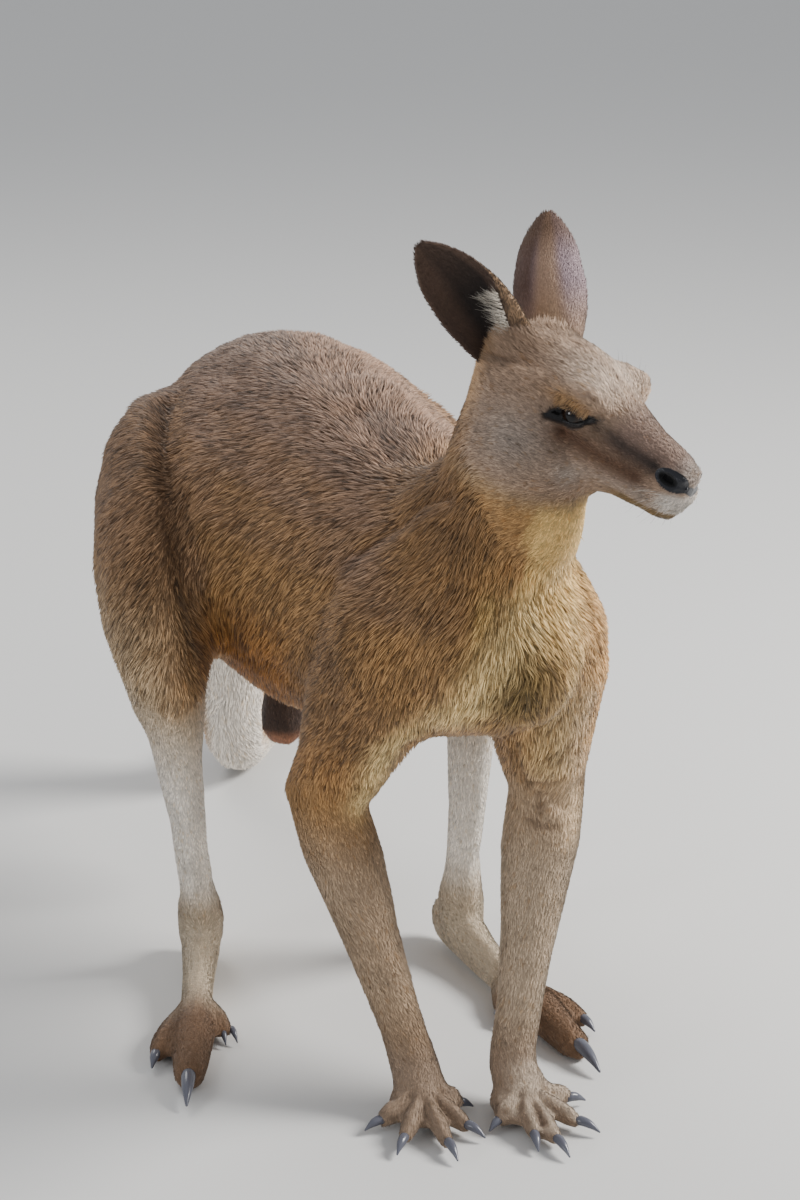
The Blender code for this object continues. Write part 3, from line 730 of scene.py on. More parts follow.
THROAT = [(101, -708, 596), (60, -729, 559), (26, -737, 530), (6, -724, 473),
          (-20, -690, 400)]
INNER_ARM = [(60, -729, 559), (30, -741, 514), (14, -732, 485), (3, -706, 454),
             (-12, -660, 420), (-34, -624, 390), (-42, -598, 355), (-43, -561, 310)]
LEFT_SHOULDER = [(112, -715, 545), (115, -731, 508), (108, -735, 475), (115, -690, 430),
                 (120, -655, 390), (130, -635, 355)]
OUTER_ARM = [(144, -688, 452), (146, -671, 415), (150, -651, 380), (162, -621, 339),
             (163, -608, 301), (156, -617, 274)]
rear, low = points[:, 1], points[:, 2]
colours = laid(
    FAWN,
    (MAUVE, fade(normals[:, 2], 0.1, 0.9) * on("trunk", "tail_root") * 0.9),
    (MAUVE, on("thigh") * fade(low, 0.42, 0.58) * 0.5),
    (UMBER, on("thigh", "tail_root") * fade(low, 0.32, 0.46) * 0.38),
    (OCHRE, on("trunk") * fade(low, 0.52, 0.4) * fade(rear, -0.58, -0.45) * fade(rear, 0.08, -0.08) * 0.85),
    (UMBER, on("trunk") * fade(np.abs(normals[:, 0]), 0.3, 0.9) * 0.18),
    (CREAM, fade(-normals[:, 2], 0.6, 0.95) * on("trunk") * fade(rear, -0.64, -0.52) * 0.5),
    # partly the neck's dark brown hair and partly painted shade on its side under the jaw
    (UMBER, on("neck") * facing((-1, 0.4, 0.2), -0.3, 0.8) * 0.6),
    (tone(248, 208, 134), on("neck", "head") * facing((0.9, -0.43, -0.1), 0.12, 0.55)),
    (tone(236, 196, 126), stroke(points, THROAT[:3], 50) * facing((0.9, -0.43, -0.1), 0.2, 0.8) * 0.8),
    (GOLD, on("trunk") * facing((0.96, -0.28, 0.0), 0.2, 0.8) * fade(rear, -0.48, -0.58) * 0.7),
    (tone(240, 206, 146), stroke(points, THROAT, 15) * 0.9),
    (tone(126, 103, 60), spot(points, (52, -745, 488), (42, 50, 58)) * 0.95),
    (tone(210, 178, 124), stroke(points, LEFT_SHOULDER, 26) * 0.85),
    (tone(208, 178, 132), on("upper_arm_left") * facing((0.2, -1, 0), -0.2, 0.6) * 0.85),
    (tone(226, 168, 100), on("upper_arm_left") * facing((1, -0.2, 0), 0.3, 0.9) * 0.7),
    (UMBER, on("upper_arm_right") * fade(low, 0.3, 0.42) * 0.5),
    (OCHRE, on("upper_arm_right") * fade(low, 0.42, 0.34) * facing((-1, -0.3, 0), -0.2, 0.6) * 0.2),
    (DUSK, on("forearm") * fade(low, 0.32, 0.22) * 0.8),
    (tone(196, 176, 152), on("forearm_left") * fade(low, 0.42, 0.3) * 0.6),
    (tone(234, 203, 144), stroke(points, INNER_ARM, 19) * 1.1),
    (tone(244, 212, 170), stroke(points, OUTER_ARM, 15) * 0.6),
    (tone(146, 126, 108), on("forearm", "hand") * fade(low, 0.12, 0.05) * 0.9),
    # painted highlight: the top of the left hand, where it faces up, is made lighter
    (tone(196, 178, 158), on("hand_left") * facing((0.3, -0.3, 1), 0.3, 0.9) * 0.6),
    # painted shade in the clefts between the fingers
    (UMBER, on("hand") * sum(stroke(points, line, 4) for line in CLEFTS) * 0.7),
    (tone(204, 178, 142), on("shank", "thigh") * fade(low, 0.52, 0.38) * 0.9),
    (PALE, on("shank", "thigh") * fade(low, 0.42, 0.24) * 0.9),
    (tone(206, 190, 166), on("foot") * 0.9),
    (TOE, on("foot_right") * fade(-rear, 0.36, 0.45)),
    (TOE, on("foot_left") * fade(-rear, 0.42, 0.5)),
    (PALE, on("tail") * fade(-normals[:, 2] - normals[:, 1], -0.1, 0.9) * 0.9),
    (UMBER, on("tail_tip") * 0.6),
    (tone(66, 50, 42), on("scrotum")),
    (tone(150, 100, 70), on("scrotum") * fade(low, 0.214, 0.2)),
    # painted shade: darker brown along the thigh and neck folds, in the elbow creases and in the spine's
    # furrow
    *((UMBER, stroke(points, fold, 10) * 0.7) for fold in (THIGH_FOLD, mirrored(THIGH_FOLD), NECK_FOLD)),
    *((UMBER, stroke(points, fold, 4.5) * 0.6) for fold in ELBOW_FOLDS),
    (UMBER, stroke(points, SPINE[2:], 12) * 0.35),
)
print("painted the body")

# %% [markdown]
# ## Markings of the face
# The face has the most colours: a fine grey-brown crown, golden brows, black lids, a dark stripe from the
# eye to the nostril with a rusty patch under it, a cool grey cheek and white lips. The bare places, lids,
# nose and corner of the eye, get a second value that makes them smooth, dark and moist.

# %% Colours of the face
x, y, z = side.T
hair = fade(z, -0.094, -0.07) * fade(x * 0.8 + z * 0.2, -0.012, 0.032) * on("head", "neck")
face_paint = (
    (tone(168, 140, 116), hair),
    (COOL_GREY, spot(side, (85, 60, -30), (40, 50, 30)) * 1.1),
    (tone(146, 122, 108), fade(x, 0.14, 0.17) * fade(z, -0.022, -0.004)),
    (tone(176, 160, 146), stroke(side, [(110, 52, -52), (160, 40, -44), (200, 30, -40)], 12)),
    (RUST, stroke(side, [(120, 50, -12), (155, 42, -21), (190, 32, -24)], 14.5)),
    (BLACK_BROWN, stroke(side, [(145, 38, 4), (176, 32, -4), (203, 26, -7)], 8.5) * 1.3),
    (UMBER, spot(side, (52, 34, 36), (16, 14, 12)) * 0.25),
    (UMBER, stroke(side, [(85, 44, 30), (100, 40, 40)], 8) * 0.4),
    (tone(232, 210, 190), spot(side, (120, 20, 40), (40, 24, 22)) * 0.8),
    (tone(176, 134, 84), spot(side, (114, 50, 18.5), (19, 14, 7.5)) * 1.2),
    (tone(160, 144, 130), fade(x, 0.18, 0.2) * fade(z, -0.026, -0.036) * 0.6),
    (tone(160, 148, 138), fade(x, 0.212, 0.232) * fade(z, -0.026, -0.018) * 0.8),
    (WHITE, fade(x, 0.21, 0.228) * fade(z, -0.022, -0.028) * 0.75),
    (tone(128, 104, 66), fade(x, 0.155, 0.185) * fade(z, -0.0455, -0.05)),
    (tone(170, 140, 96), fade(-z, 0.06, 0.085) * 0.7),
    (BLACK_BROWN, stroke(side, MOUTH, 3) * 1.3),
    (BLACK_BROWN, fade(lid_margin, 0.0075, 0.0035)),
)
colours = laid(colours, *((over, amount * hair) for over, amount in face_paint))
between, below = [(230, 13, -17), (239.5, 0, -23)], [(239, 0, -24), (240, 0, -39)]  # of the nostrils
leather = np.maximum(fade(pad, 1.1, 0.95), stroke(side, between, 4.6))
leather = np.maximum(leather, stroke(side, below, 1.7))
tear = spot(side, (142, 41, 8.5), (4, 5, 3.5))
leather = fade(leather * face, 0.35, 0.55)
bare = np.clip(fade(lid_margin, 0.0042, 0.0022) + leather + fade(tear, 0.3, 0.5), 0, 1)
# painted shade: the inside of each nostril opening is made near black, darker than the leather round it
into_nostril = fade(opening, 1.0, 0.75) * face
colours = laid(colours, (BLACK, bare), (tone(30, 31, 36), leather), (tone(2, 2, 2), into_nostril))
bare_gloss = bare * (1 - fade(opening, 1.0, 0.8) * face)
print("bare skin on", int((bare > 0.5).sum()), "points")

# %% [markdown]
# ## What fur is made of here
# Skin and locks have one kind of material. Its colour comes from the mesh's points, and a fine noise breaks
# it up. Hair is not glossy but it is not chalk either: a middling roughness and a little sheen give the
# soft edge. Where the skin is bare the same material turns smoother, with a relief of fine grains.

# %% The coat's material
COLOUR_LAYER, BARE_LAYER = "coat_colour", "bare"


def filled(node, **values):
    """Sets a node's sockets. In their names an underscore stands for a space."""
    for name, value in values.items():
        node.inputs[name.replace("_", " ")].default_value = value
    return node


def material(name, **values):
    """A plain material, with its tree of nodes and its shader."""
    made = bpy.data.materials.new(name)
    made.use_nodes = True
    return made, made.node_tree, filled(made.node_tree.nodes["Principled BSDF"], **values)


def node_of(tree, kind, **values):
    return filled(tree.nodes.new("ShaderNode" + kind), **values)


def stored(tree, layer):
    """A node that reads what is kept on the points of the mesh."""
    made = node_of(tree, "Attribute")
    made.attribute_name = layer
    return made


def coat_material(name, roughness, bump):
    made, tree, shader = material(
        name, Roughness=roughness, Specular_IOR_Level=0.3, Sheen_Weight=0.12, Sheen_Roughness=0.5)
    link = tree.links.new
    where, grain = node_of(tree, "TexCoord"), node_of(tree, "TexNoise", Scale=420, Detail=4)
    span, mix = node_of(tree, "MapRange", To_Min=0.82, To_Max=1.18), node_of(tree, "VectorMath")
    mix.operation = "SCALE"
    link(where.outputs["Object"], grain.inputs["Vector"])
    link(grain.outputs["Fac"], span.inputs["Value"])
    link(stored(tree, COLOUR_LAYER).outputs["Color"], mix.inputs[0])
    link(span.outputs["Result"], mix.inputs["Scale"])
    link(mix.outputs["Vector"], shader.inputs["Base Color"])
    if bump:
        relief = node_of(tree, "Bump", Distance=bump)
        link(grain.outputs["Fac"], relief.inputs["Height"])
        link(relief.outputs["Normal"], shader.inputs["Normal"])
        gloss = node_of(tree, "MapRange", To_Min=roughness, To_Max=0.24)
        link(stored(tree, BARE_LAYER).outputs["Fac"], gloss.inputs["Value"])
        link(gloss.outputs["Result"], shader.inputs["Roughness"])
    return made


def paint(obj, colours):
    layer = obj.data.color_attributes.new(COLOUR_LAYER, "FLOAT_COLOR", "POINT")
    rgba = np.concatenate([colours, np.ones((len(colours), 1))], 1)
    layer.data.foreach_set("color", rgba.astype(np.float32).ravel())


def clad(obj, finish):
    obj.data.materials.append(finish)
    obj.data.shade_smooth()


fur, hide = coat_material("fur", 0.62, 0), coat_material("skin under the fur", 0.75, 0.0006)
clad(skin, hide)
paint(skin, colours * (0.8 + 0.2 * bare)[:, None])
layer = skin.data.attributes.new(BARE_LAYER, "FLOAT", "POINT")
layer.data.foreach_set("value", bare_gloss.astype(np.float32))
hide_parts(*flesh)
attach(skin, "root")
print("clad the skin in", hide.name)

# %% [markdown]
# ## Eyeballs
# A dark brown ball with a slightly raised cornea. It is almost black from outside, and what one sees is the
# light on its wet surface, so the finish is a smooth clear coat.

# %% Make the eyes
wet, tree, shader = material(
    "wet dark eye", Roughness=0.1, Specular_IOR_Level=0, Coat_Weight=1, Coat_IOR=1.36, Coat_Roughness=0.02)
tree.links.new(stored(tree, COLOUR_LAYER).outputs["Color"], shader.inputs["Base Color"])
PUPIL, IRIS = 0.36, 0.6  # as angles from the middle of the cornea, in radians
for name, at in eye_at.items():
    bm = bmesh.new()
    bmesh.ops.create_uvsphere(bm, u_segments=48, v_segments=32, radius=BALL - 0.0002)
    ball = mesh_of(f"eyeball_{name}", bm)
    local = points_of(ball)
    out = TURN @ eye_view(np.zeros((1, 3)), name)[2][:, 2]
    angle = np.arccos(np.clip(unit(local) @ out, -1, 1))
    local = local * (1 + 0.05 * fade(angle, IRIS + 0.1, IRIS - 0.2))[:, None]
    place(ball, local + np.array(at))
    iris = tone(34, 21, 13), fade(angle, IRIS + 0.05, IRIS - 0.05)
    pupil = BLACK, fade(angle, PUPIL + 0.05, PUPIL - 0.05)
    paint(ball, laid(tone(24, 17, 14), iris, pupil))
    clad(ball, wet)
    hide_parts(f"eye_{name}")
    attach(ball, "root")
    print("eye", name, [round(value, 3) for value in at])

# %% [markdown]
# ## Locks of hair
# Each lock is a slim closed solid with only four faces: a point buried in the skin, a waist and a free tip.
# So few faces leave room for a third of a million locks. Its normals lean with the skin's, which makes a
# lock look round and lets the coat read as one soft surface. Particle hair would be easier to comb, but it
# is not a solid.

# %% Strew and build locks
WAIST = 0.42  # where a lock is widest, as a share of its length
PATCH = 0.0015  # half the size of a lock's patch on the bake map
LOCK = np.array([(0, 2, 1), (3, 1, 2), (0, 1, 3), (0, 3, 2)])
OFF_FLOOR = (0.0002, 0.0006, 0.001, 0.0004)  # the least height of each of a lock's points


def ground_of(obj):
    """The points, triangles and triangle areas of an object that locks will grow on."""
    obj.data.calc_loop_triangles()
    triangles = numbers(obj.data.loop_triangles, "vertices", 3, np.int32)
    found = points_of(obj)
    a, b, c = (found[triangles[:, k]] for k in range(3))
    return found, triangles, np.linalg.norm(np.cross(b - a, c - a), axis=1) / 2


def strewn(ground, weights, count):
    """Random places on a ground: each one's triangle and its shares of the three corners."""
    _, triangles, areas = ground
    heap = np.cumsum(areas * weights[triangles].mean(1))
    picked = np.searchsorted(heap, (np.arange(count) + dice.random(count)) / count * heap[-1])
    picked = np.minimum(picked, len(triangles) - 1)
    u, v = dice.random((2, count))
    over = u + v > 1
    u[over], v[over] = 1 - u[over], 1 - v[over]
    return triangles[picked], np.stack([1 - u - v, u, v], 1)


def read(values, places):
    """Values at strewn places, from those at the ground's points."""
    corners, parts = places
    at = values[corners]
    return (at * (parts if at.ndim == 2 else parts[:, :, None])).sum(1)


def unwrapped(roots):
    """A place on a square for each root: its angle round the piece's long axis and how far along it is."""
    middle = roots.mean(0)
    turn = np.linalg.svd(roots - middle, full_matrices=False)[2]
    along, aside, above = ((roots - middle) @ turn.T).T
    angle = np.arctan2(above, aside)
    wide = (angle - angle.min()) / max(np.ptp(angle), 1e-9)
    long = (along - along.min()) / max(np.ptp(along), 1e-9)
    return 0.005 + 0.99 * np.stack([wide, long], 1)


def solids_of(name, rows, faces, patch, tones, leans):
    """Many equal closed solids in one object, from rows of points, common faces and their bake patch."""
    count, size = rows.shape[:2]
    made = linked(name, bpy.data.meshes.new(name))
    mesh = made.data
    mesh.vertices.add(count * size)
    mesh.loops.add(count * len(faces) * 3)
    mesh.polygons.add(count * len(faces))
    mesh.vertices.foreach_set("co", rows.astype(np.float32).ravel())
    index = (faces[None] + np.arange(count)[:, None, None] * size).astype(np.int32)
    mesh.loops.foreach_set("vertex_index", index.ravel())
    mesh.polygons.foreach_set("loop_start", np.arange(0, count * len(faces) * 3, 3, dtype=np.int32))
    mesh.polygons.foreach_set("loop_total", np.full(count * len(faces), 3, np.int32))
    mesh.update(calc_edges=True)
    uv = (unwrapped(rows[:, 0])[:, None] + patch[None] * PATCH)[:, faces.ravel()]
    mesh.uv_layers.new(name="OFBake").data.foreach_set("uv", uv.astype(np.float32).ravel())
    paint(made, tones.reshape(-1, 3))
    mesh.shade_smooth()
    if leans is not None:
        mesh.normals_split_custom_set_from_vertices(unit(leans).reshape(-1, 3))
    mesh.materials.append(fur)
    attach(made, "root")
    print(f"{name}: {count} hairs, {count * len(faces)} triangles")
    return made


def build_locks(name, roots, up, way, lengths, widths, rise, root_tone, tip_tone):
    """One piece of the coat. Rise is the height of each lock's waist and of its tip over the skin."""
    across = unit(np.cross(way, up))
    waist, tip = (roots + way * (lengths * part)[:, None] + up * height[:, None]
                  for part, height in zip((WAIST, 1), rise))
    side = across * (widths / 2)[:, None]
    rows = np.stack([roots - up * 0.0006, waist - side, waist + side, tip], 1)
    rows[:, :, 2] = np.maximum(rows[:, :, 2], OFF_FLOOR)
    middle_tone = root_tone * 0.4 + tip_tone * 0.6
    tones = np.stack([root_tone, middle_tone, middle_tone, tip_tone], 1)
    leans = np.stack([up, up - across * 0.45, up + across * 0.45, up + way * 0.3], 1)
    patch = np.array([(0, -1), (-1, 0), (1, 0), (0, 1)])
    return solids_of(name, rows, LOCK, patch, tones, leans)


# %% [markdown]
# ## Clumps and streaks
# Short hair gathers into small clumps, and single darker hairs between them give the fine streaks of the
# coat. Some of the roots are picked as leaders and the tips of the locks round each are drawn a little
# towards its own tip. A slow, smooth turn of the hair's direction from place to place keeps the coat from
# looking ruled.

# %% Lay the coat
LOCKS = 320000
MOST_IN_PIECE = 47000
WARMER = np.array([0.1, 0.0, -0.14])  # the darker hairs are a warmer brown
PLAIN = ("head", "shank", "foot", "hand", "tail", "forearm")
GROUPS = {
    "head": ["head"],
    "neck": ["neck"],
    "back": ["trunk"],
    "right_arm": ["upper_arm_right", "forearm_right", "hand_right"],
    "left_arm": ["upper_arm_left", "forearm_left", "hand_left"],
    "right_leg": ["thigh_right", "shank_right", "foot_right"],
    "left_leg": ["thigh_left", "shank_left", "foot_left"],
    "tail": ["tail_root", "tail_middle", "tail_tip", "scrotum"],
}


def drift(at, scale):
    """A smooth random number between about -1 and 1 at each place."""
    return np.array([noise.noise(Vector(place)) for place in at * scale])


def tree_of(places):
    """The places sorted so that the nearest one is found fast."""
    tree = KDTree(len(places))
    for k, place in enumerate(places):
        tree.insert(place, k)
    tree.balance()
    return tree


def closest(tree, wanted):
    return np.array([tree.find(place)[1] for place in wanted])


def clumped(roots, way, lengths):
    """For each root the offset from its own tip to the tip of its clump's leader, and the clump's number."""
    cells = np.floor(roots / (lengths.mean() * 0.4)).astype(int)
    leader = np.unique(cells, axis=0, return_index=True)[1]
    own = closest(tree_of(roots[leader]), roots)
    lead = leader[own]
    return roots[lead] + way[lead] * lengths[lead][:, None] - roots - way * lengths[:, None], own


def lay_coat():
    weights = density * (1 - sole) * (1 - bare) * (1 - stroke(side, MOUTH, 1.8) * face)
    places = strewn(ground_of(skin), weights, LOCKS)
    roots, up = read(points, places), unit(read(normals, places))
    way = unit(read(lie, places))
    reach, wide, deep, curl = (read(values, places) for values in (length, width, depth, curly))
    part = part_of[places[0][:, 0]]
    tint = read(colours, places)
    reach = reach * dice.uniform(0.65, 1.2, LOCKS)
    sway = dice.normal(0, 0.11, LOCKS) + drift(roots, 22) * 0.5 + curl * drift(roots, 75) * 1.4
    way = unit(way + np.cross(up, way) * sway[:, None])
    pull, clump = clumped(roots, way, reach)
    way = pressed(way * reach[:, None] + pull * 0.42, up)
    rough = [0.5 if name.startswith(PLAIN) else 0.8 if name == "neck" else 1.0 for name in flesh]
    rough = np.array(rough)[part]
    dark = dice.random(clump.max() + 1)[clump] < 0.2 * rough**2
    dark |= dice.random(LOCKS) < 0.1 * rough
    light = dice.normal(0, 0.2, LOCKS) + dice.normal(0, 0.23, clump.max() + 1)[clump]
    light = light + drift(roots, 30) * 0.24
    light = (1.04 + light * (0.3 + 0.7 * rough)) * np.where(dark, 1 - 0.52 * rough, 1.0)
    light = np.clip(light, 0.25, 1.7)[:, None]
    lift = dice.uniform(0.6, 1.2, LOCKS)
    off = read(stand, places)
    rise = (deep * 0.55 + off * 0.4) * lift, (deep * 0.85 + off) * lift
    for group, names in GROUPS.items():
        mine = np.flatnonzero(np.isin(part, [flesh.index(name) for name in names]))
        mine = mine[np.argsort(roots[mine, 1])]
        pieces = math.ceil(len(mine) / MOST_IN_PIECE)
        for number, some in enumerate(np.array_split(mine, pieces), start=1):
            name = f"coat_{group}" if pieces == 1 else f"coat_{group}_{number}"
            shade = tint[some] * light[some] * (1 + dark[some, None] * WARMER)
            own = (values[some] for values in (roots, up, way, reach, wide))
            build_locks(name, *own, [height[some] for height in rise], shade * 0.6, shade * 1.15)


def lay_ruff(name):
    """Longer hair that rises from the head along the root of one ear and hides where the two meet."""
    root, _, (along, _, _) = ear_ways(name)
    count = 2600
    near = spot(points, (root + along * 0.004) * 1000, (21, 21, 21)) * on("head")
    places = strewn(ground_of(skin), near * (near > 0.12), count)
    roots, up = read(points, places), unit(read(normals, places))
    way = unit(along * 0.85 + up * 0.42 + dice.normal(0, 0.16, (count, 3)))
    reach = dice.uniform(0.008, 0.017, count) * (0.5 + 0.7 * read(near, places))
    tint = read(colours, places) * np.clip(dice.normal(1, 0.22, count), 0.5, 1.5)[:, None]
    build_locks(f"coat_ruff_{name}", roots, up, way, reach, np.full(count, 0.0006), [np.zeros(count)] * 2,
                tint * 0.75, tint * 1.15)


lay_coat()
for name in EARS:
    lay_ruff(name)

# %% [markdown]
# ## Ears
# An ear is a thin sheet curled into a cup. Its solid already has the right curl, so the ear is that solid
# with its edges rounded by subdivision, a little thinner and wider at its root. The back has short fur that
# runs to the tip, the inside is dark with sparse hair, and a fringe of long white hair hangs over the front
# edge.

# %% Round the ears off
# The brown of the ear's back, and a purple-grey that paints the sheen along its sides.
EAR_BROWN, EAR_SHEEN_GREY = tone(176, 146, 124), tone(146, 128, 138)
EAR_DARK, EAR_INSIDE = tone(28, 20, 16), tone(86, 66, 54)


def rounded(name, source, levels):
    made = mesh_of(name, joined(source))
    smooth = made.modifiers.new("round", "SUBSURF")
    smooth.levels = smooth.render_levels = levels
    return applied(made)


def dress_ear(name):
    """The ear's skin and its short hair. The left ear flares at its root and the right one sweeps back."""
    flare, sweep, bulge = (0.35, 0, 0.006) if name == "left" else (0, -0.012, 0.019)
    ear = rounded(f"ear_{name}_skin", [f"ear_{name}"], 3)
    at, up = points_of(ear), normals_of(ear)
    root, reach, (along, across, open_side) = ear_ways(name)
    share = (at - root) @ along / reach
    aside = (at - root) @ across
    to_front = -SIGNS[name]
    outside = fade(up @ open_side, 0.1, -0.25) * fade(aside * to_front, -0.01, 0.012)
    shift = (aside * flare + sweep) * fade(share, 0.6, 0.05)
    shift = shift + outside * to_front * bulge * fade(share, 0.62, 0.1)
    at = at - up * 0.0008 + across * shift[:, None]
    at = at - along * (0.018 * fade(share, 0.45, 0.0))[:, None]  # its root goes deep into the head
    place(ear, at)
    half = np.interp(share, [0, 0.2, 0.5, 0.8, 1.0], [0.017, 0.024, 0.028, 0.02, 0.006])
    aside = aside / half
    inside = fade(up @ open_side, -0.05, 0.2)
    edge = fade(np.abs(aside), 0.8, 1.0)
    front = aside * to_front
    paler = fade(share, 0.35, 0.95) * 0.6 + fade(front, 0.0, -0.7) * 0.8 + fade(front, 0.75, 0.95) * 0.6
    rim = (1 - inside) * fade(front, 0.1, 0.6) * fade(share, 0.8, 0.55) * (name == "right")
    shade = laid(
        EAR_BROWN,
        # painted sheen: purple-grey towards the sides of the ear's back
        (EAR_SHEEN_GREY, fade(np.abs(aside), 0.15, 0.6) * 0.85),
        (tone(176, 146, 114), fade(share, 0.45, 0.1) * 0.7),
        (UMBER, fade(share, 0.55, 0.88) * 0.8),
        (UMBER, fade(front, -0.2, -0.65) * fade(share, 0.1, 0.4) * 0.8),
        (laid(EAR_DARK, (EAR_INSIDE, paler), (tone(72, 52, 42), fade(share, 0.3, 0.05) * 0.5)), inside),
        (BLACK_BROWN, edge * fade(np.abs(up @ open_side), 0.5, 0.2) * 0.8),
        (tone(156, 126, 96), rim),
    )
    paint(ear, shade)
    clad(ear, hide)
    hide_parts(f"ear_{name}")
    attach(ear, "root")

    count = 11000
    weights = np.where(inside > 0.5, 0.45, 1.0) * fade(share, -0.05, 0.05)
    places = strewn(ground_of(ear), weights, count)
    roots, lift = read(at, places), unit(read(up, places))
    deep = read(inside, places)
    way = along + across * (read(aside, places) * 0.12)[:, None] * np.where(deep > 0.5, 1.6, 1)[:, None]
    way = pressed(way + dice.normal(0, 0.12, (count, 3)), lift)
    hair = dice.uniform(0.0026, 0.0046, count)
    light = np.clip(dice.normal(1, 0.14, count), 0.5, 1.5)[:, None] * read(shade, places)
    height = np.where(deep > 0.5, 0.0007, 0.0005) * dice.uniform(0.6, 1.3, count)
    shape = roots, lift, way, hair, np.full(count, 0.00055), (height, height * 1.4)
    build_locks(f"coat_ear_{name}", *shape, light * 0.85, light * 1.12)
    return at, share, front, inside, (along, across, open_side)


ears = {name: dress_ear(name) for name in EARS}

# %% [markdown]
# ## Long hairs
# A few hairs are long enough to be seen one by one: the white fringe of the ears, lashes, the tufts of the
# brow, whiskers on lip, brow and chin. Each is a thin closed tube that bends and tapers to its tip.

# %% Bend long hairs
RINGS = 5


def build_hairs(name, roots, way, bend, lengths, thick, tones):
    """Closed three-sided tubes from the roots. Bend is the direction that the tips turn to."""
    steps = np.linspace(0, 1, RINGS)
    path = way[:, None] * steps[:, None] + bend[:, None] * steps[:, None] ** 2
    path = roots[:, None] + lengths[:, None, None] * path
    side = unit(np.cross(way, bend + way[:, [1, 2, 0]] * 0.01))
    over = unit(np.cross(side, way))
    radius = thick[:, None] / 2 * (1 - 0.85 * steps)
    rows = []
    for turn in (0, 2 * math.pi / 3, 4 * math.pi / 3):
        off = side * math.cos(turn) + over * math.sin(turn)
        rows.append(path + off[:, None] * radius[:, :, None])
    rows = np.stack(rows, 2).reshape(len(roots), RINGS * 3, 3)
    faces, patch = [(0, 2, 1), (RINGS * 3 - 3, RINGS * 3 - 2, RINGS * 3 - 1)], []
    for ring in range(RINGS):
        patch += [(0.9 * x, 2 * ring / (RINGS - 1) - 1) for x in (-1, 0, 1)]
        for k in range(3 if ring < RINGS - 1 else 0):
            low, near = ring * 3 + k, ring * 3 + (k + 1) % 3
            faces += [(low, near, near + 3), (low, near + 3, low + 3)]
    tones = np.repeat(tones[:, None], RINGS * 3, axis=1)
    return solids_of(name, rows, np.array(faces), np.array(patch), tones, None)


def rooted(wanted):
    """The points of the skin nearest to the wanted places, as indices."""
    return closest(tree_of(points), wanted)


def fringe(name):
    at, share, front, inside, (along, across, open_side) = ears[name]
    count = 700
    picked = dice.choice(np.flatnonzero((inside > 0.5) & (front > 0.5) & (share > 0) & (share < 0.38)), count)
    way = along * 0.55 + across * (SIGNS[name] * 0.45) + open_side * 0.55
    way = unit(way + dice.normal(0, 0.16, (count, 3)))
    bend = along * 0.5 - open_side * 0.25 + dice.normal(0, 0.08, (count, 3))
    lengths = dice.uniform(0.007, 0.017, count) * (1.1 - 0.9 * share[picked])
    tones = tone(240, 230, 214) * dice.uniform(0.6, 1.05, count)[:, None]
    build_hairs(f"ear_fringe_{name}", at[picked], way, bend, lengths, np.full(count, 0.00042), tones)


for name in EARS:
    fringe(name)


def face_hairs(name):
    """Lashes, brow hairs and whiskers of one side of the face. Directions are in the head's axes."""
    _, ball, axes, middle = eye_view(points, name)
    slit, above, out = axes.T
    hairs = []

    def add(place, direction, curve, long, wide, colour):
        long = long * dice.uniform(0.8, 1.2)
        colour = colour * dice.uniform(0.8, 1.1)
        hairs.append((place, TURN @ unit(direction), TURN @ curve, long, wide, colour))

    def whiskers(places, lean, jitter, curve, long, wide, colours):
        for k in rooted(np.array(places) * [1, SIGNS[name], 1] @ TURN.T + START):
            shake = dice.normal(0, jitter, 3) if jitter else 0
            add(points[k], TURN.T @ normals[k] + lean + shake, curve, long, wide, colours[k % 2])

    for k in range(26):
        s = -0.015 + 0.03 * k / 25 + dice.normal(0, 0.0004)
        t = UPPER * (1 - (s / HALF_SLIT) ** 2)
        flat = np.array([s, t]) - ball[:2]
        o = ball[2] + math.sqrt(max((BALL + 0.0012) ** 2 - flat @ flat, 1e-6))
        place = TURN @ (middle + axes @ np.array([s, t + 0.0003, o])) + START
        direction = out * 0.9 + above * 0.1 + slit * (s * 30) + dice.normal(0, 0.08, 3)
        long, colour = (0.0075, WHITE * 0.8) if k % 7 == 3 else (0.0058, BLACK)
        add(place, direction, above * 0.35 - out * 0.1, long, 0.00032, colour)
    over_eye = (brow > 0.25) & (lid_margin > 0.0072) & (in_head(points)[:, 1] * SIGNS[name] > 0)
    for k in dice.choice(np.flatnonzero(over_eye), 360):
        direction = TURN.T @ normals[k] * 0.75 + [-0.15, 0, -0.4] + dice.normal(0, 0.16, 3)
        colour = tone(206, 168, 122) if dice.random() < 0.65 else tone(134, 102, 74)
        add(points[k], direction, [-0.1, 0, -0.45], 0.0058, 0.00042, colour)
    dark, mixed = [BLACK_BROWN, BLACK_BROWN], [WHITE * 0.8, BLACK_BROWN]
    over_brow = [(0.112 + 0.012 * math.cos(k), 0.05, 0.022) for k in range(5)]
    on_lip = [(0.205 + 0.024 * (k % 6) / 5, 0.028, -0.026 - 0.006 * (k // 6)) for k in range(18)]
    on_chin = [(0.19 + 0.012 * k, 0.01, -0.066) for k in range(4)]
    whiskers(over_brow, [-0.2, 0, 0.5], 0, [-0.3, 0, 0.2], 0.022, 0.0004, dark)
    whiskers(on_lip, [-0.35, 0, -0.05], 0.12, [-0.35, 0, -0.3], 0.02, 0.00034, mixed)
    whiskers(on_chin, [0, 0, 0], 0.15, [-0.3, 0, -0.1], 0.011, 0.00032, dark)
    build_hairs(f"face_hairs_{name}", *(np.array(values) for values in zip(*hairs)))


for name in eye_at:
    face_hairs(name)

# %% [markdown]
# ## Claws
# Claws are horn: hard, smooth and dark, with faint clouds in it. They could be lofted anew, but the solids
# have their size and place, so each is its solid rounded off, then made stouter, shorter and more arched.

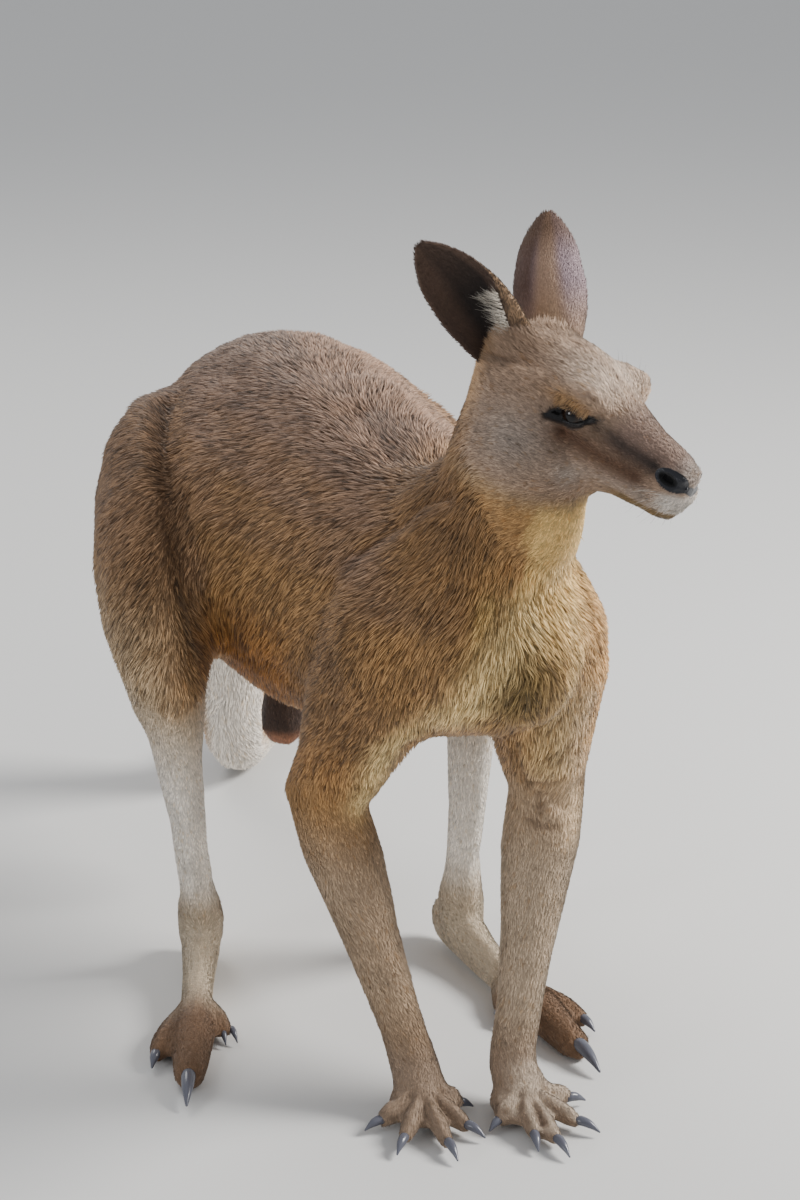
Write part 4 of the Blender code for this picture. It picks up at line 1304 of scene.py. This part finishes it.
# %% Round and finish the claws
ROUNDING = 0.0004  # what rounding takes off
SHORTER, STOUTER, ARCH = 0.14, 0.0012, 0.0016
PALMS = {name: np.array([*middle, 20]) / 1000 for name, (middle, _) in HANDS.items()}
claws = sorted(name for name in nodes if name.startswith("claw"))
horn, tree, shader = material("horn", Roughness=0.26)
grain, ramp = node_of(tree, "TexNoise", Scale=160), node_of(tree, "Mix")
ramp.data_type = "RGBA"
filled(ramp, A=(*tone(38, 38, 46), 1), B=(*tone(112, 114, 126), 1))
tree.links.new(grain.outputs["Fac"], ramp.inputs["Factor"])
tree.links.new(ramp.outputs["Result"], shader.inputs["Base Color"])


def dress_claw(name):
    """One claw, a little shorter, stouter and more arched than its solid."""
    made = rounded(f"{name}_horn", [name], 2)
    at, up = points_of(made), normals_of(made)
    palm = at.mean(0) * [1, 1, 0] + [0, 0.05, 0] if "hind" in name else PALMS[name.split("_")[2]]
    along = np.linalg.svd(at - at.mean(0), full_matrices=False)[2][0]
    along = along * np.sign(along @ (at.mean(0) - palm))
    reach = at @ along - (at @ along).min()
    share = reach / reach.max()
    at = at + up * (ROUNDING + STOUTER * fade(share, 0, 0.2) * fade(share, 0.95, 0.5))[:, None]
    at = at - along * (reach * SHORTER)[:, None]
    at[:, 2] = np.maximum(at[:, 2] + ARCH * np.sin(math.pi * share), 0.0003)
    place(made, at)
    clad(made, horn)
    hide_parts(name)
    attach(made, "root")


for name in claws:
    dress_claw(name)
print(len(claws), "claws")

# %% [markdown]
# ## Studio
# A pale floor, a broad soft light from above and the front, a weaker one from the other side and an even
# pale surrounding light: soft enough for fur, with just enough direction to show the muscles.

# %% Floor, lights and camera
FLOOR_TONE = (0.62, 0.62, 0.61)
floor_bm = bmesh.new()
bmesh.ops.create_grid(floor_bm, x_segments=1, y_segments=1, size=12)
floor = mesh_of("floor", floor_bm)
floor.data.materials.append(material("pale floor", Base_Color=(*FLOOR_TONE, 1), Roughness=0.8)[0])


def soft_light(name, place, aim, size, power, tone):
    lamp = bpy.data.lights.new(name, "AREA")
    lamp.shape, lamp.size, lamp.energy, lamp.color = "DISK", size, power, tone
    made = linked(name, lamp)
    made.location = place
    made.rotation_euler = (Vector(aim) - Vector(place)).to_track_quat("-Z", "Y").to_euler()


low, high = (Vector(corner) for corner in solid_box)
middle = (low + high) / 2
soft_light("key light", middle + Vector((2.6, -1.0, 1.8)), middle, 1.3, 200, (1.0, 0.975, 0.94))
soft_light("fill light", middle + Vector((-2.4, -1.4, 0.45)), middle, 0.7, 16, (0.95, 0.97, 1.0))
soft_light("back light", middle + Vector((-0.6, 2.4, 2.2)), middle, 1.6, 40, (1.0, 0.98, 0.95))
world = bpy.data.worlds.new("pale room")
world.use_nodes = True
filled(world.node_tree.nodes["Background"], Color=(0.93, 0.95, 0.99, 1), Strength=0.66)
bpy.context.scene.world = world

CAMERA_PLACE = (-0.8165, -3.0482, 1.45)
CAMERA_TIP, CAMERA_TURN = math.radians(70.4), math.radians(-18)
LENS, FILM = 85, 36  # millimetres, the film's along its longer side

camera = linked("camera", bpy.data.cameras.new("camera"))
camera.location = CAMERA_PLACE
camera.rotation_euler = (CAMERA_TIP, 0, CAMERA_TURN)
camera.data.lens, camera.data.sensor_width = LENS, FILM
bpy.context.scene.camera = camera
print("camera", round(camera.location.z, 2), "m above the floor")
